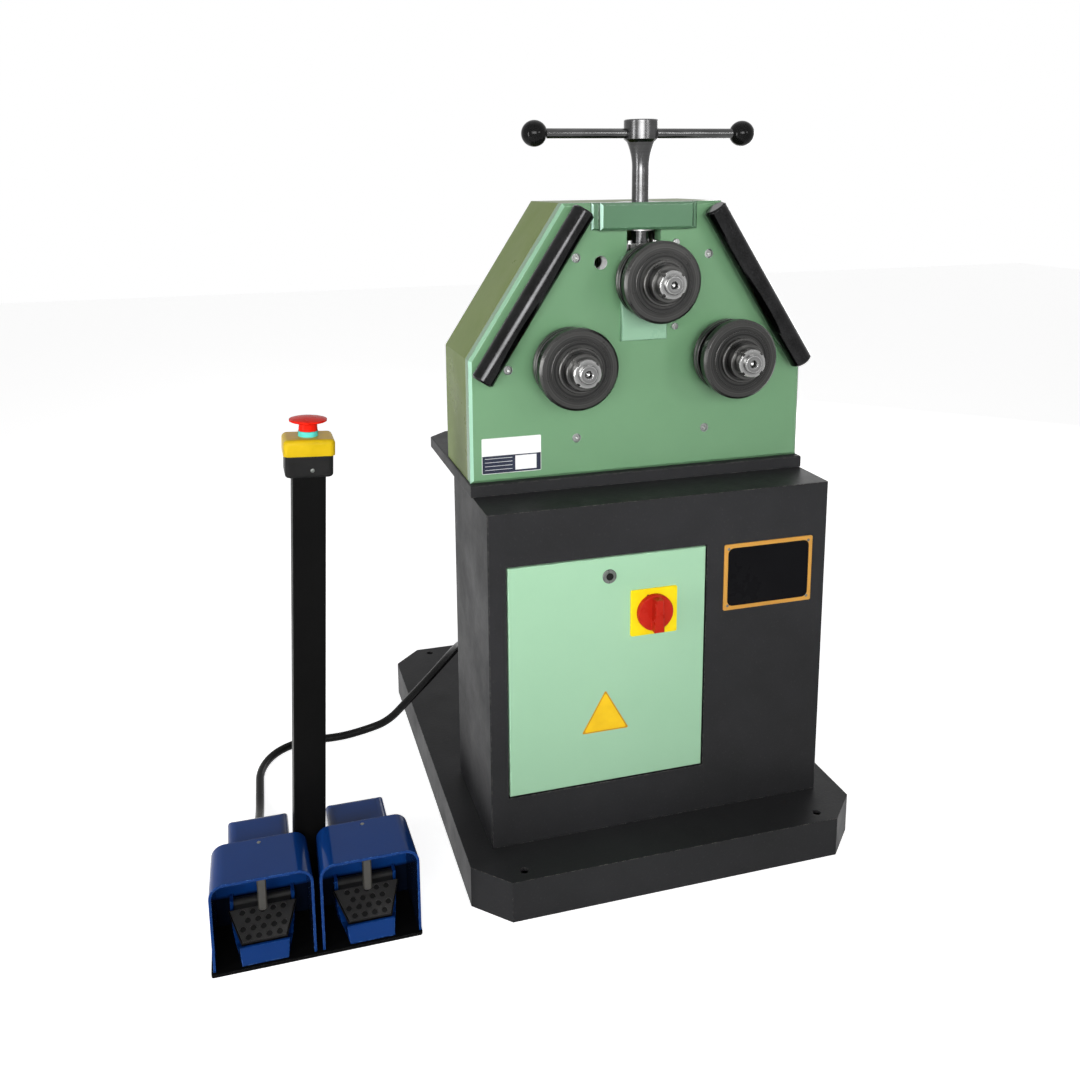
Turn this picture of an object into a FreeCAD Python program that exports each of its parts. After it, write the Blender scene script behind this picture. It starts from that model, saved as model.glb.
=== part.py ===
"""Three-roll ring roller on a floor cabinet, with its pedal unit and cable. Millimetres, +Z up.

The origin is the centre of the plinth's underside, and the front of the machine faces -Y.
"""
import FreeCAD, Part
import math
import os
from FreeCAD import Vector

X_AXIS = Vector(1, 0, 0)
Y_AXIS = Vector(0, 1, 0)
Z_AXIS = Vector(0, 0, 1)

# ---- clearances ----
RUNNING = 0.05          # radial play of a shaft in its bush
SLIDING = 0.3           # play between flat faces that move past each other
EDGE_BREAK = 1.5        # chamfer on plain machined edges
HALF_TURN = 180.0

# ---- plinth ----
PLINTH_WIDTH = 690.0
PLINTH_DEPTH = 840.0
PLINTH_HEIGHT = 70.0
PLINTH_CORNER = 55.0
PLINTH_PLATE = 6.0
PLINTH_RIB = 30.0
ANCHOR_INSET_X = 81.0   # from the plinth's sides
ANCHOR_INSET_Y = 24.0   # from the plinth's ends
ANCHOR_HOLE_R = 7.0

# ---- cabinet ----
CABINET_WIDTH = 600.0   # the head has the same width
CABINET_DEPTH = 240.0
CABINET_HEIGHT = 575.0
CABINET_SETBACK = 90.0  # plinth front edge to cabinet front
CABINET_SHEET = 3.0
CABINET_FLANGE = 30.0
VENT_LENGTH = 70.0
VENT_WIDTH = 6.0
VENT_PITCH = 18.0
VENT_COUNT = 5

# ---- tilting front panel ----
DOOR_WIDTH = 342.0
DOOR_HEIGHT = 396.0
DOOR_CENTRE_X = -97.0
DOOR_SILL = 88.0        # above the plinth
DOOR_SHEET = 2.0
DOOR_RETURN = 18.0
DOOR_GAP = 2.5
FRAME_RETURN = 25.0
HINGE_INSET = 6.0       # hinge axis above the sill edge and behind the panel face
HINGE_PIN_R = 2.5
HINGE_BARREL_R = 4.5
HINGE_BARREL_LENGTH = 30.0
HINGE_SPREAD = 220.0
HINGE_EAR = 4.0
HINGE_ARM = 8.0         # thickness of a bracket's upright arm
LOCK_DROP = 32.0        # lock axis below the panel's top edge
LOCK_HEAD_R = 12.0
LOCK_BODY_R = 9.0
CAM_LENGTH = 46.0
CAM_WIDTH = 12.0
CAM_THICKNESS = 4.0
SWITCH_X = -19.0
SWITCH_HEIGHT = 295.0   # switch axis above the panel's lower edge
SWITCH_PLATE_WIDTH = 82.0
SWITCH_PLATE_HEIGHT = 80.0
SWITCH_PLATE_THICKNESS = 3.0
SWITCH_BODY = 62.0
SWITCH_BODY_DEPTH = 68.0
KNOB_R = 31.0
KNOB_BASE = 9.0
KNOB_GRIP = 16.0
KNOB_GRIP_WIDTH = 17.0
KNOB_TAPER = 2.0
SPINDLE_R = 4.0

# ---- control gear inside the cabinet ----
GEAR_PLATE_WIDTH = 300.0
GEAR_PLATE_HEIGHT = 320.0
GEAR_PLATE = 3.0
CONTACTOR = (45.0, 70.0, 80.0)
CONTACTOR_COUNT = 4
CONTACTOR_PITCH = 58.0
TRANSFORMER = (95.0, 74.0, 85.0)
TERMINALS = (220.0, 40.0, 42.0)

# ---- bed plate ----
BED_MARGIN = 3.0        # beyond the head on each side
BED_THICKNESS = 20.0
BED_LENGTH = 376.0
BED_NOSE = 10.0         # in front of the head
BED_CORNER = 35.0
GUSSET = 130.0
GUSSET_PLATE = 8.0
GUSSET_SPREAD = 400.0

# ---- head ----
HEAD_SETBACK = 105.0    # cabinet front to head front
HEAD_KNEE = 205.0       # height of the upright sides
HEAD_HEIGHT = 453.0
HEAD_TOP_WIDTH = 280.0
FRONT_PLATE = 25.0
FRONT_PLATE_CHAMFER = 5.0
HEAD_COVER_LENGTH = 152.0
HEAD_SHEET = 3.0
HEAD_FLANGE = 22.0
REAR_PLATE = 20.0
REAR_PLATE_GAP = 138.0  # front face of the head to the rear bearing plate
REAR_PLATE_MARGIN = 30.0
REAR_PLATE_HEIGHT = 300.0

# ---- slide, slot and crosshead ----
SLOT_WIDTH = 60.0
SLOT_FLOOR = 230.0      # above the bed plate
CROSSHEAD_HEIGHT = 44.0
CROSSHEAD_PAD_WIDTH = 186.0
CROSSHEAD_PAD = 6.0
CROSSHEAD_WIDTH = 164.0
CROSSHEAD_STEP = 12.0
CROSSHEAD_TONGUE = 50.0
CROSSHEAD_FACE_CHAMFER = 4.0
CROSSHEAD_PAD_CHAMFER = 3.0
GIB_WIDTH = 25.0
GIB_LENGTH = 60.0
GIB_HEIGHT = 205.0
SLIDE_HEIGHT = 85.0
SLIDE_ABOVE_SHAFT = 45.0
SLIDE_FACE_WIDTH = 81.0
SLIDE_FACE_HEIGHT = 140.0
SLIDE_FACE = 8.0
SLIDE_FACE_TOP = 37.0   # above the top shaft
KEEPER = 8.0
KEEPER_LIP = 14.0
CAP_THICKNESS = 12.0
CAP_LENGTH = 48.0
CAP_SCREW_R = 5.0

# ---- feed screw and T-handle ----
SCREW_BEHIND_FACE = 18.0
SCREW_R = 14.0
COLLAR_R = 17.0
COLLAR_HEIGHT = 9.4
COLLAR_POCKET_R = 20.0
COLLAR_POCKET = 14.0
WASHER = 4.0
SPIGOT_R = 8.0
NUT_R = 20.0
NUT_FLANGE_R = 23.0
NUT_FLANGE = 3.0
HUB_R = 28.0
HUB_HEIGHT = 36.0
HUB_CHAMFER = 5.0
TAPER_TOP_R = 22.5
TAPER_HEIGHT = 45.0
SCREW_TOP = 132.0       # above the head
HANDLE_BAR_R = 8.0
HANDLE_BAR_DROP = 22.0  # below the top of the hub
HANDLE_SPAN = 364.0
BALL_R = 21.0
BALL_SOCKET = 11.0

# ---- rolls and shafts ----
ROLL_SPACING = 280.0
ROLL_HEIGHT = 196.0     # lower shafts above the bed plate
TOP_ROLL_RISE = 132.0
JOURNAL_R = 20.0
SHOULDER_R = 26.0
ROLL_SEAT_R = 18.0
THREAD_R = 15.0
CENTRE_DRILL_R = 5.5
CENTRE_DRILL_DEPTH = 12.0
ROLL_STANDOFF = 30.0    # head face to the back of the rolls
REAR_DISC_R = 62.0
FRONT_DISC_R = 66.0
GROOVE_R = 54.0
REAR_DISC = 16.0
GROOVE = 18.0
FRONT_DISC = 20.0
DISC_CHAMFER = 4.0
REAR_DISC_CHAMFER = 2.0
FACE_RING_R = 48.0
FACE_RING = 1.5
HUB_RING_R = 37.0
HUB_RING = 6.0
COLLAR_RING_R = 30.0
COLLAR_RING = 15.0
ROLL_NUT_R = 23.0
ROLL_NUT = 15.0
ROLL_NUT_NOTCH = 6.0
SHAFT_STICK_OUT = 5.0
BUSH_WALL = 9.0
SLIDE_BUSH_WALL = 3.0
BUSH_FLANGE_R = 38.0
BUSH_FLANGE = 5.0

# ---- gear train ----
GEAR_TEETH = 50
PINION_TEETH = 22
PINION_DROP = 34.0      # pinion axis below the roll shafts
GEAR_WIDTH = 25.0
GEAR_BEHIND_FACE = 104.0
GEAR_HUB_R = 34.0
GEAR_HUB = 6.0
PRESSURE_ANGLE = 20.0
BACKLASH = 0.5
PINION_SHAFT_R = 15.0
PINION_BUSH_WALL = 5.0
PINION_POCKET = 10.0

# ---- gear unit and motor ----
GEARBOX_FLANGE_R = 55.0
GEARBOX_WIDTH = 150.0
GEARBOX_LENGTH = 120.0
GEARBOX_STANDOFF = 20.0
GEARBOX_FOOT_WIDTH = 190.0
GEARBOX_FOOT = 12.0
WORM_DROP = 75.0
MOTOR_R = 60.0
MOTOR_FLANGE_R = 74.0
MOTOR_FLANGE = 12.0
MOTOR_LENGTH = 140.0
FIN_HEIGHT = 9.0
FIN_THICKNESS = 3.0
FIN_COUNT = 14
COWL_LENGTH = 48.0
COWL_R = 72.0
COWL_SHEET = 2.0
COWL_CHAMFER = 6.0
TERMINAL_BOX = (80.0, 78.0, 42.0)

# ---- guide bars on the front plate ----
GUIDE_BAR_R = 19.0
GUIDE_BAR_LENGTH = 318.0
GUIDE_BAR_INSET = 28.2  # from the sloping edge, in the plate's plane
GUIDE_BAR_STANDOFF = 27.0
GUIDE_BAR_DROP = 5.5    # bar middle below the middle of the sloping edge
GUIDE_BAR_CHAMFER = 3.0
SPACER_R = 10.0
SPACER_SPREAD = 220.0

# ---- front plate screws and holes ----
SCREW_HEAD_R = 6.5
SCREW_HEAD = 9.0
COUNTERBORE_R = 7.5
COUNTERBORE = 12.0
SOCKET_R = 3.3
UPPER_SCREW = (118.0, 365.0)   # from the centre line, above the bed plate
SIDE_SCREW = (234.5, 186.5)
LOWER_SCREW = (117.0, 64.0)
ACCESSORY_HOLE_R = 11.0
ACCESSORY_HOLE_X = -75.5
ACCESSORY_HOLE_HEIGHT = 356.0
GIB_SCREW_R = 6.0
GIB_SCREW_HEAD = 5.0
GIB_SCREW_X = 57.0
GIB_SCREW_HEIGHTS = (245.0, 386.0)

# ---- pedal unit ----
FOOT_X = -589.5         # half-way between the two pedals
FOOT_FRONT = -405.0
FOOT_LEFT = 159.5       # plate's left and right edges from the middle
FOOT_RIGHT = 157.5
FOOT_LENGTH = 219.0
FOOT_PLATE = 5.0
GUARD_WIDTH = 152.0
GUARD_REAR_WIDTH = 147.0
GUARD_HEIGHT = 142.0
GUARD_REAR_HEIGHT = 139.5
GUARD_DEPTH = 100.0
GUARD_RADIUS = 22.0
GUARD_WALL = 4.0
GUARD_SPREAD = 161.0
GUARD_SETBACK = 5.0
HOUSING_WIDTH = 98.0
HOUSING_HEIGHT = 111.0
HOUSING_LENGTH = 108.0
HOUSING_RADIUS = 15.0
HOUSING_FLOOR = 3.0
RAMP_SETBACK = 0.5            # behind the guard's front edge
RAMP_WIDTH = 68.0
RAMP_HEIGHT = 18.0
RAMP_RUN = 16.0
RAMP_CREST = 4.0
WELL_REAR = 36.0              # rear end of the well, in front of the pedal's axis
STEP_FRONT = 14.0
STEP_HEIGHT = 16.0
SEAT_FRONT = 8.0
SEAT_DROP = 13.0              # seat below the pedal's axis
PEDAL_AXIS_HEIGHT = 47.0      # above the foot plate
PEDAL_AXIS_SETBACK = 12.0     # in front of the guard's back wall
PEDAL_LENGTH = 66.0
PEDAL_NECK = 13.0             # from the axis to where the tread is full width
PEDAL_SLOPE = 28.0
PEDAL_THICKNESS = 7.0
PEDAL_REAR_WIDTH = 104.0
PEDAL_FRONT_WIDTH = 68.0
PEDAL_BARREL_R = 7.0
PEDAL_PIN_R = 3.0
EAR_THICKNESS = 5.0
LATCH_WIDTH = 14.0
LATCH_LENGTH = 76.0
LATCH_THICKNESS = 8.0
LATCH_TIP_R = 6.0
LATCH_CHAMFER = 2.0
LATCH_SETBACK = 48.0          # behind the guard's front edge
LATCH_DROP = 13.0             # pin below the guard's top
LATCH_PIN_R = 2.5
LATCH_BARREL_R = 6.0
LATCH_EAR = 3.0

# ---- post and emergency stop ----
POST_SIZE = 50.0
POST_WALL = 2.0
POST_SETBACK = 143.0          # foot plate front edge to post axis
POST_OFFSET = -6.2            # post axis from the middle between the pedals, at the plate
POST_LEAN = 2.6               # degrees, towards the machine
POST_TOP = 720.0              # along the post, from the floor
STOP_WIDTH = 77.0
STOP_DEPTH = 66.0
STOP_BASE_INSET = 2.5         # base drawn in from the cover
STOP_BASE = 34.0
STOP_COVER = 25.0
STOP_RADIUS = 9.0
STOP_TOP_RADIUS = 7.0
STOP_FOOT_RADIUS = 5.0
STOP_STEM_R = 9.0
STOP_RING_R = 15.0
STOP_RING_SHOWN = 8.0
STOP_TRAVEL = 6.0
STOP_NECK_R = 14.5
STOP_NECK = 13.0
MUSHROOM_R = 28.5
MUSHROOM_UNDER = 2.0          # rise of the underside from neck to rim
MUSHROOM_RIM = 2.5
MUSHROOM_DOME = 4.0

# ---- cable between the pedal unit and the cabinet ----
CABLE_R = 8.0
GLAND_R = 13.0
GLAND_NUT = 12.0
GLAND_DOME = 12.0
CABINET_GLAND_X = -276.0
CABINET_GLAND_HEIGHT = 286.0
PEDAL_GLAND_HEIGHT = 34.0
CABLE_LEAD = 39.0       # straight out of each gland
CABLE_ROUTE = (
    (-273.1, 16.4, 269.4),
    (-284.0, 63.9, 226.1),
    (-320.8, 100.9, 162.8),
    (-360.4, 139.1, 99.3),
    (-397.1, 166.7, 44.8),
    (-441.9, 190.0, 19.5),
    (-499.2, 195.5, 8.3),
    (-573.1, 205.4, 8.3),
    (-631.4, 175.5, 8.3),
    (-661.9, 117.6, 8.3),
    (-664.0, 49.6, 8.3),
    (-666.0, -18.0, 9.5),
    (-667.0, -76.0, 22.0),
)

# ---- places that follow from the sizes ----
ANCHOR_X = PLINTH_WIDTH / 2 - ANCHOR_INSET_X
ANCHOR_Y = PLINTH_DEPTH / 2 - ANCHOR_INSET_Y
HEAD_WIDTH = CABINET_WIDTH
BED_WIDTH = HEAD_WIDTH + 2 * BED_MARGIN
PLINTH_FRONT = -PLINTH_DEPTH / 2
CABINET_FRONT = PLINTH_FRONT + CABINET_SETBACK
CABINET_REAR = CABINET_FRONT + CABINET_DEPTH
CABINET_TOP = PLINTH_HEIGHT + CABINET_HEIGHT
BED_TOP = CABINET_TOP + BED_THICKNESS
HEAD_FRONT = CABINET_FRONT + HEAD_SETBACK
BED_FRONT = HEAD_FRONT - BED_NOSE
HEAD_TOP = BED_TOP + HEAD_HEIGHT
PLATE_BACK = HEAD_FRONT + FRONT_PLATE
COVER_BACK = PLATE_BACK + HEAD_COVER_LENGTH
REAR_PLATE_FRONT = HEAD_FRONT + REAR_PLATE_GAP
REAR_PLATE_BACK = REAR_PLATE_FRONT + REAR_PLATE
LOWER_AXIS = BED_TOP + ROLL_HEIGHT
TOP_AXIS = LOWER_AXIS + TOP_ROLL_RISE
ROLL_BACK = HEAD_FRONT - ROLL_STANDOFF
ROLL_FACE = ROLL_BACK - REAR_DISC - GROOVE - FRONT_DISC
HUB_RING_BACK = ROLL_FACE - FACE_RING
NUT_BACK = HUB_RING_BACK - HUB_RING - COLLAR_RING
SHAFT_END = NUT_BACK - ROLL_NUT - SHAFT_STICK_OUT
PINION_AXIS = LOWER_AXIS - PINION_DROP
BUSH_SEAT_R = JOURNAL_R + BUSH_WALL + RUNNING
SCREW_Y = HEAD_FRONT + SCREW_BEHIND_FACE
CROSSHEAD_BOTTOM = HEAD_TOP - CROSSHEAD_HEIGHT
GIB_BACK = PLATE_BACK + GIB_LENGTH
SLIDE_TOP = TOP_AXIS + SLIDE_ABOVE_SHAFT
HANDLE_TOP = HEAD_TOP + SCREW_TOP
HANDLE_BAR_Z = HANDLE_TOP - HANDLE_BAR_DROP
GEARBOX_FRONT = COVER_BACK + HEAD_SHEET + GEARBOX_STANDOFF
GEARBOX_MIDDLE = GEARBOX_FRONT + GEARBOX_LENGTH / 2
WORM_AXIS = PINION_AXIS - WORM_DROP
DOOR_BOTTOM = PLINTH_HEIGHT + DOOR_SILL
DOOR_TOP = DOOR_BOTTOM + DOOR_HEIGHT
HINGE_Y = CABINET_FRONT + HINGE_INSET
HINGE_Z = DOOR_BOTTOM + HINGE_INSET
LOCK_Z = DOOR_TOP - LOCK_DROP
SWITCH_Z = DOOR_BOTTOM + SWITCH_HEIGHT
GUARD_FRONT = FOOT_FRONT + GUARD_SETBACK
GUARD_BACK = GUARD_FRONT + GUARD_DEPTH
HOUSING_BACK = GUARD_BACK + HOUSING_LENGTH
PEDAL_Y = GUARD_BACK - GUARD_WALL - PEDAL_AXIS_SETBACK
PEDAL_Z = FOOT_PLATE + PEDAL_AXIS_HEIGHT
LATCH_Y = GUARD_FRONT + LATCH_SETBACK
LATCH_Z = FOOT_PLATE + GUARD_HEIGHT - LATCH_DROP
POST_X = FOOT_X + POST_OFFSET
POST_Y = FOOT_FRONT + POST_SETBACK
STOP_SPLIT = POST_TOP + STOP_BASE
STOP_TOP = STOP_SPLIT + STOP_COVER


# ---- basic shapes ----
def block(x0, x1, y0, y1, z0, z1):
    return Part.makeBox(x1 - x0, y1 - y0, z1 - z0, Vector(x0, y0, z0))


def rod(radius, start, axis, length):
    return Part.makeCylinder(radius, length, Vector(*start), axis)


def ring(outer, inner, start, axis, length):
    return rod(outer, start, axis, length).cut(rod(inner, start, axis, length))


def front_prism(points, y0, y1):
    """Extrude a closed X-Z outline from y0 to y1."""
    corners = [Vector(x, y0, z) for x, z in points]
    return Part.Face(Part.makePolygon(corners + corners[:1])).extrude(Vector(0, y1 - y0, 0))


def side_prism(points, x0, x1):
    """Extrude a closed Y-Z outline from x0 to x1."""
    corners = [Vector(x0, y, z) for y, z in points]
    return Part.Face(Part.makePolygon(corners + corners[:1])).extrude(Vector(x1 - x0, 0, 0))


def plan_prism(points, z0, z1):
    """Extrude a closed X-Y outline from z0 to z1."""
    corners = [Vector(x, y, z0) for x, y in points]
    return Part.Face(Part.makePolygon(corners + corners[:1])).extrude(Vector(0, 0, z1 - z0))


def lathe_edges(points):
    corners = [Vector(r, 0, h) for r, h in points]
    return Part.Face(Part.makePolygon(corners + corners[:1])).revolve(Vector(), Z_AXIS, 360)


def lathe(points, start, axis):
    """Turn a closed (radius, height) outline about the axis through start."""
    shape = lathe_edges(points)
    shape.Placement = FreeCAD.Placement(Vector(*start), FreeCAD.Rotation(Z_AXIS, axis))
    return shape


def upright_edges(shape):
    return [e for e in shape.Edges
            if abs(e.Vertexes[0].X - e.Vertexes[-1].X) < 1e-6
            and abs(e.Vertexes[0].Y - e.Vertexes[-1].Y) < 1e-6
            and abs(e.Vertexes[0].Z - e.Vertexes[-1].Z) > 1e-3]


def edges_at(shape, axis_name, value):
    """Edges whose ends and middle all lie in one plane."""
    found = []
    for edge in shape.Edges:
        points = [v.Point for v in edge.Vertexes] + [edge.valueAt(edge.FirstParameter)]
        middle = edge.valueAt((edge.FirstParameter + edge.LastParameter) / 2)
        if all(abs(getattr(p, axis_name) - value) < 1e-4 for p in points + [middle]):
            found.append(edge)
    return found


def fuse_all(first, others):
    return first.multiFuse(list(others)).removeSplitter()


def mirrored(shape):
    return shape.mirror(Vector(), X_AXIS)


def head_outline(inset=0.0):
    """Six-sided outline of the head, drawn in by an even margin."""
    half, top = HEAD_WIDTH / 2, HEAD_TOP_WIDTH / 2
    slope = math.atan2(HEAD_HEIGHT - HEAD_KNEE, half - top)
    knee = BED_TOP + HEAD_KNEE - inset * math.tan((math.pi / 2 - slope) / 2)
    top -= inset * math.tan(slope / 2)
    half -= inset
    z_top = HEAD_TOP - inset
    return [(-half, BED_TOP), (half, BED_TOP), (half, knee), (top, z_top), (-top, z_top), (-half, knee)]


# ---- base ----
def cut_corner_plan(half_x, half_y, corner):
    return [(-half_x + corner, -half_y), (half_x - corner, -half_y), (half_x, -half_y + corner),
            (half_x, half_y - corner), (half_x - corner, half_y), (-half_x + corner, half_y),
            (-half_x, half_y - corner), (-half_x, -half_y + corner)]


def make_plinth():
    half_x, half_y, plate = PLINTH_WIDTH / 2, PLINTH_DEPTH / 2, PLINTH_PLATE
    skirt = plan_prism(cut_corner_plan(half_x, half_y, PLINTH_CORNER), 0, PLINTH_HEIGHT)
    inner_corner = PLINTH_CORNER - plate * (2 - math.sqrt(2))
    hollow = plan_prism(cut_corner_plan(half_x - plate, half_y - plate, inner_corner),
                        0, PLINTH_HEIGHT - plate)
    rib, under = PLINTH_RIB / 2, PLINTH_HEIGHT - plate
    ribs = [block(-rib, rib, plate - half_y, half_y - plate, 0, under),
            block(plate - half_x, half_x - plate, -rib, rib, 0, under)]
    tray = fuse_all(skirt.cut(hollow), ribs)
    for x in (-ANCHOR_X, ANCHOR_X):
        for y in (-ANCHOR_Y, ANCHOR_Y):
            tray = tray.cut(rod(ANCHOR_HOLE_R, (x, y, 0), Z_AXIS, PLINTH_HEIGHT))
    return tray


def make_cabinet_shell():
    half, sheet = CABINET_WIDTH / 2, CABINET_SHEET
    shell = block(-half, half, CABINET_FRONT, CABINET_REAR, PLINTH_HEIGHT, CABINET_TOP)
    shell = shell.makeChamfer(EDGE_BREAK, upright_edges(shell))
    inside = half - sheet
    shell = shell.cut(block(-inside, inside, CABINET_FRONT + sheet, CABINET_REAR - sheet,
                            PLINTH_HEIGHT + sheet, CABINET_TOP - sheet))
    foot = half - CABINET_FLANGE
    shell = shell.cut(block(-foot, foot, CABINET_FRONT + CABINET_FLANGE, CABINET_REAR - CABINET_FLANGE,
                            PLINTH_HEIGHT, PLINTH_HEIGHT + sheet))
    x0 = DOOR_CENTRE_X - DOOR_WIDTH / 2 - DOOR_GAP
    x1 = DOOR_CENTRE_X + DOOR_WIDTH / 2 + DOOR_GAP
    z0, z1 = DOOR_BOTTOM - DOOR_GAP, DOOR_TOP + DOOR_GAP
    back = CABINET_FRONT + FRAME_RETURN
    frame = block(x0 - sheet, x1 + sheet, CABINET_FRONT + sheet / 2, back, z0 - sheet, z1 + sheet)
    shell = shell.fuse(frame).cut(block(x0, x1, CABINET_FRONT, back, z0, z1))
    shell = fuse_all(shell, hinge_brackets(z0))
    for row in range(VENT_COUNT):
        z = CABINET_TOP - 90 - row * VENT_PITCH
        for x in (-VENT_LENGTH * 1.5, VENT_LENGTH / 2):
            shell = shell.cut(block(x, x + VENT_LENGTH, CABINET_REAR - sheet, CABINET_REAR,
                                    z, z + VENT_WIDTH))
    return shell


def hinge_brackets(sill):
    """Two ears on the sill for each hinge pin, with the pin through both."""
    parts = []
    nose = HINGE_INSET - DOOR_SHEET - SLIDING
    reach = DOOR_RETURN - HINGE_INSET
    near, far = HINGE_Y + reach - HINGE_ARM / 2, HINGE_Y + reach + HINGE_ARM / 2
    profile = [(HINGE_Y, HINGE_Z - nose), (near, HINGE_Z - nose), (near, sill), (far, sill),
               (far, HINGE_Z + nose), (HINGE_Y, HINGE_Z + nose)]
    half = HINGE_BARREL_LENGTH / 2 + SLIDING
    for side in (-1, 1):
        middle = DOOR_CENTRE_X + side * HINGE_SPREAD / 2
        for inner in (middle - half - HINGE_EAR, middle + half):
            parts.append(side_prism(profile, inner, inner + HINGE_EAR))
            parts.append(rod(nose, (inner, HINGE_Y, HINGE_Z), X_AXIS, HINGE_EAR))
        start = middle - half - HINGE_EAR / 2
        parts.append(rod(HINGE_PIN_R, (start, HINGE_Y, HINGE_Z), X_AXIS, 2 * half + HINGE_EAR))
    return parts


# ---- front panel with its switch and lock ----
def make_door():
    x0, x1 = DOOR_CENTRE_X - DOOR_WIDTH / 2, DOOR_CENTRE_X + DOOR_WIDTH / 2
    back = CABINET_FRONT + DOOR_RETURN
    panel = block(x0, x1, CABINET_FRONT, back, DOOR_BOTTOM, DOOR_TOP)
    front_edges = [e for e in edges_at(panel, "y", CABINET_FRONT)]
    panel = panel.makeFillet(DOOR_SHEET, front_edges)
    panel = panel.cut(block(x0 + DOOR_SHEET, x1 - DOOR_SHEET, CABINET_FRONT + DOOR_SHEET, back,
                            DOOR_BOTTOM + DOOR_SHEET, DOOR_TOP - DOOR_SHEET))
    barrels = []
    for side in (-1, 1):
        middle = DOOR_CENTRE_X + side * HINGE_SPREAD / 2
        start = middle - HINGE_BARREL_LENGTH / 2
        barrels.append(rod(HINGE_BARREL_R, (start, HINGE_Y, HINGE_Z), X_AXIS, HINGE_BARREL_LENGTH))
    panel = fuse_all(panel, barrels)
    for side in (-1, 1):
        middle = DOOR_CENTRE_X + side * HINGE_SPREAD / 2
        reach = HINGE_BARREL_LENGTH / 2 + HINGE_EAR + 1
        panel = panel.cut(rod(HINGE_PIN_R + RUNNING, (middle - reach, HINGE_Y, HINGE_Z), X_AXIS, 2 * reach))
        for x in (middle - reach, middle + HINGE_BARREL_LENGTH / 2):
            panel = panel.cut(block(x, x + HINGE_EAR + 1, CABINET_FRONT + DOOR_SHEET, back,
                                    DOOR_BOTTOM, DOOR_BOTTOM + DOOR_SHEET))
    panel = panel.cut(rod(LOCK_BODY_R, (DOOR_CENTRE_X, CABINET_FRONT, LOCK_Z), Y_AXIS, DOOR_SHEET))
    return panel.cut(rod(SPINDLE_R + RUNNING, (SWITCH_X, CABINET_FRONT, SWITCH_Z), Y_AXIS, DOOR_SHEET))


def make_lock_barrel():
    front = CABINET_FRONT - 2.5
    head = rod(LOCK_HEAD_R, (DOOR_CENTRE_X, front, LOCK_Z), Y_AXIS, 2.5)
    head = head.makeChamfer(1.0, edges_at(head, "y", front))
    body = rod(LOCK_BODY_R, (DOOR_CENTRE_X, front, LOCK_Z), Y_AXIS, FRAME_RETURN + 2.5)
    slot = block(DOOR_CENTRE_X - 1, DOOR_CENTRE_X + 1, front, front + 2, LOCK_Z - 5, LOCK_Z + 5)
    spindle = rod(SPINDLE_R, (DOOR_CENTRE_X, front, LOCK_Z), Y_AXIS,
                  FRAME_RETURN + 2.5 + SLIDING + CAM_THICKNESS)
    return fuse_all(head, [body, spindle]).cut(slot)


def make_lock_cam():
    """Tongue lying level, clear of the frame: a quarter turn lifts it behind the frame's top edge."""
    y0 = CABINET_FRONT + FRAME_RETURN + SLIDING
    y1 = y0 + CAM_THICKNESS
    half = CAM_WIDTH / 2
    eye = rod(half, (DOOR_CENTRE_X, y0, LOCK_Z), Y_AXIS, CAM_THICKNESS)
    tip = rod(half, (DOOR_CENTRE_X + CAM_LENGTH - half, y0, LOCK_Z), Y_AXIS, CAM_THICKNESS)
    tongue = block(DOOR_CENTRE_X, DOOR_CENTRE_X + CAM_LENGTH - half, y0, y1, LOCK_Z - half, LOCK_Z + half)
    cam = fuse_all(eye, [tongue, tip])
    return cam.cut(rod(SPINDLE_R + RUNNING, (DOOR_CENTRE_X, y0, LOCK_Z), Y_AXIS, CAM_THICKNESS))


def make_switch_body():
    half, y0 = SWITCH_BODY / 2, CABINET_FRONT + DOOR_SHEET
    body = block(SWITCH_X - half, SWITCH_X + half, y0, y0 + SWITCH_BODY_DEPTH,
                 SWITCH_Z - half, SWITCH_Z + half)
    depth = KNOB_BASE / 2
    return body.cut(rod(SPINDLE_R + RUNNING, (SWITCH_X, y0, SWITCH_Z), Y_AXIS, depth + SLIDING))


def make_switch_plate():
    y1 = CABINET_FRONT
    y0 = y1 - SWITCH_PLATE_THICKNESS
    half_x, half_z = SWITCH_PLATE_WIDTH / 2, SWITCH_PLATE_HEIGHT / 2
    plate = block(SWITCH_X - half_x, SWITCH_X + half_x, y0, y1, SWITCH_Z - half_z, SWITCH_Z + half_z)
    corners = [e for e in plate.Edges if abs(e.Vertexes[0].Y - e.Vertexes[1].Y) > 1]
    plate = plate.makeFillet(3.0, corners)
    return plate.cut(rod(SPINDLE_R + RUNNING, (SWITCH_X, y0, SWITCH_Z), Y_AXIS, SWITCH_PLATE_THICKNESS))


def make_switch_knob():
    back = CABINET_FRONT - SWITCH_PLATE_THICKNESS - SLIDING
    front = back - KNOB_BASE
    disc = rod(KNOB_R, (SWITCH_X, front, SWITCH_Z), Y_AXIS, KNOB_BASE)
    disc = disc.makeChamfer(EDGE_BREAK, edges_at(disc, "y", front))
    half, reach = KNOB_GRIP_WIDTH / 2, KNOB_R - 1
    low, high = SWITCH_Z - reach + KNOB_TAPER, SWITCH_Z + reach - KNOB_TAPER
    grip = front_prism([(SWITCH_X - half, low), (SWITCH_X + half, low),
                        (SWITCH_X + half - KNOB_TAPER, high), (SWITCH_X - half + KNOB_TAPER, high)],
                       front - KNOB_GRIP, front)
    grip = grip.makeChamfer(EDGE_BREAK, edges_at(grip, "y", front - KNOB_GRIP))
    spindle = rod(SPINDLE_R, (SWITCH_X, front, SWITCH_Z), Y_AXIS,
                  KNOB_BASE + SLIDING + SWITCH_PLATE_THICKNESS + DOOR_SHEET + KNOB_BASE / 2)
    return fuse_all(disc, [grip, spindle])


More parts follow.
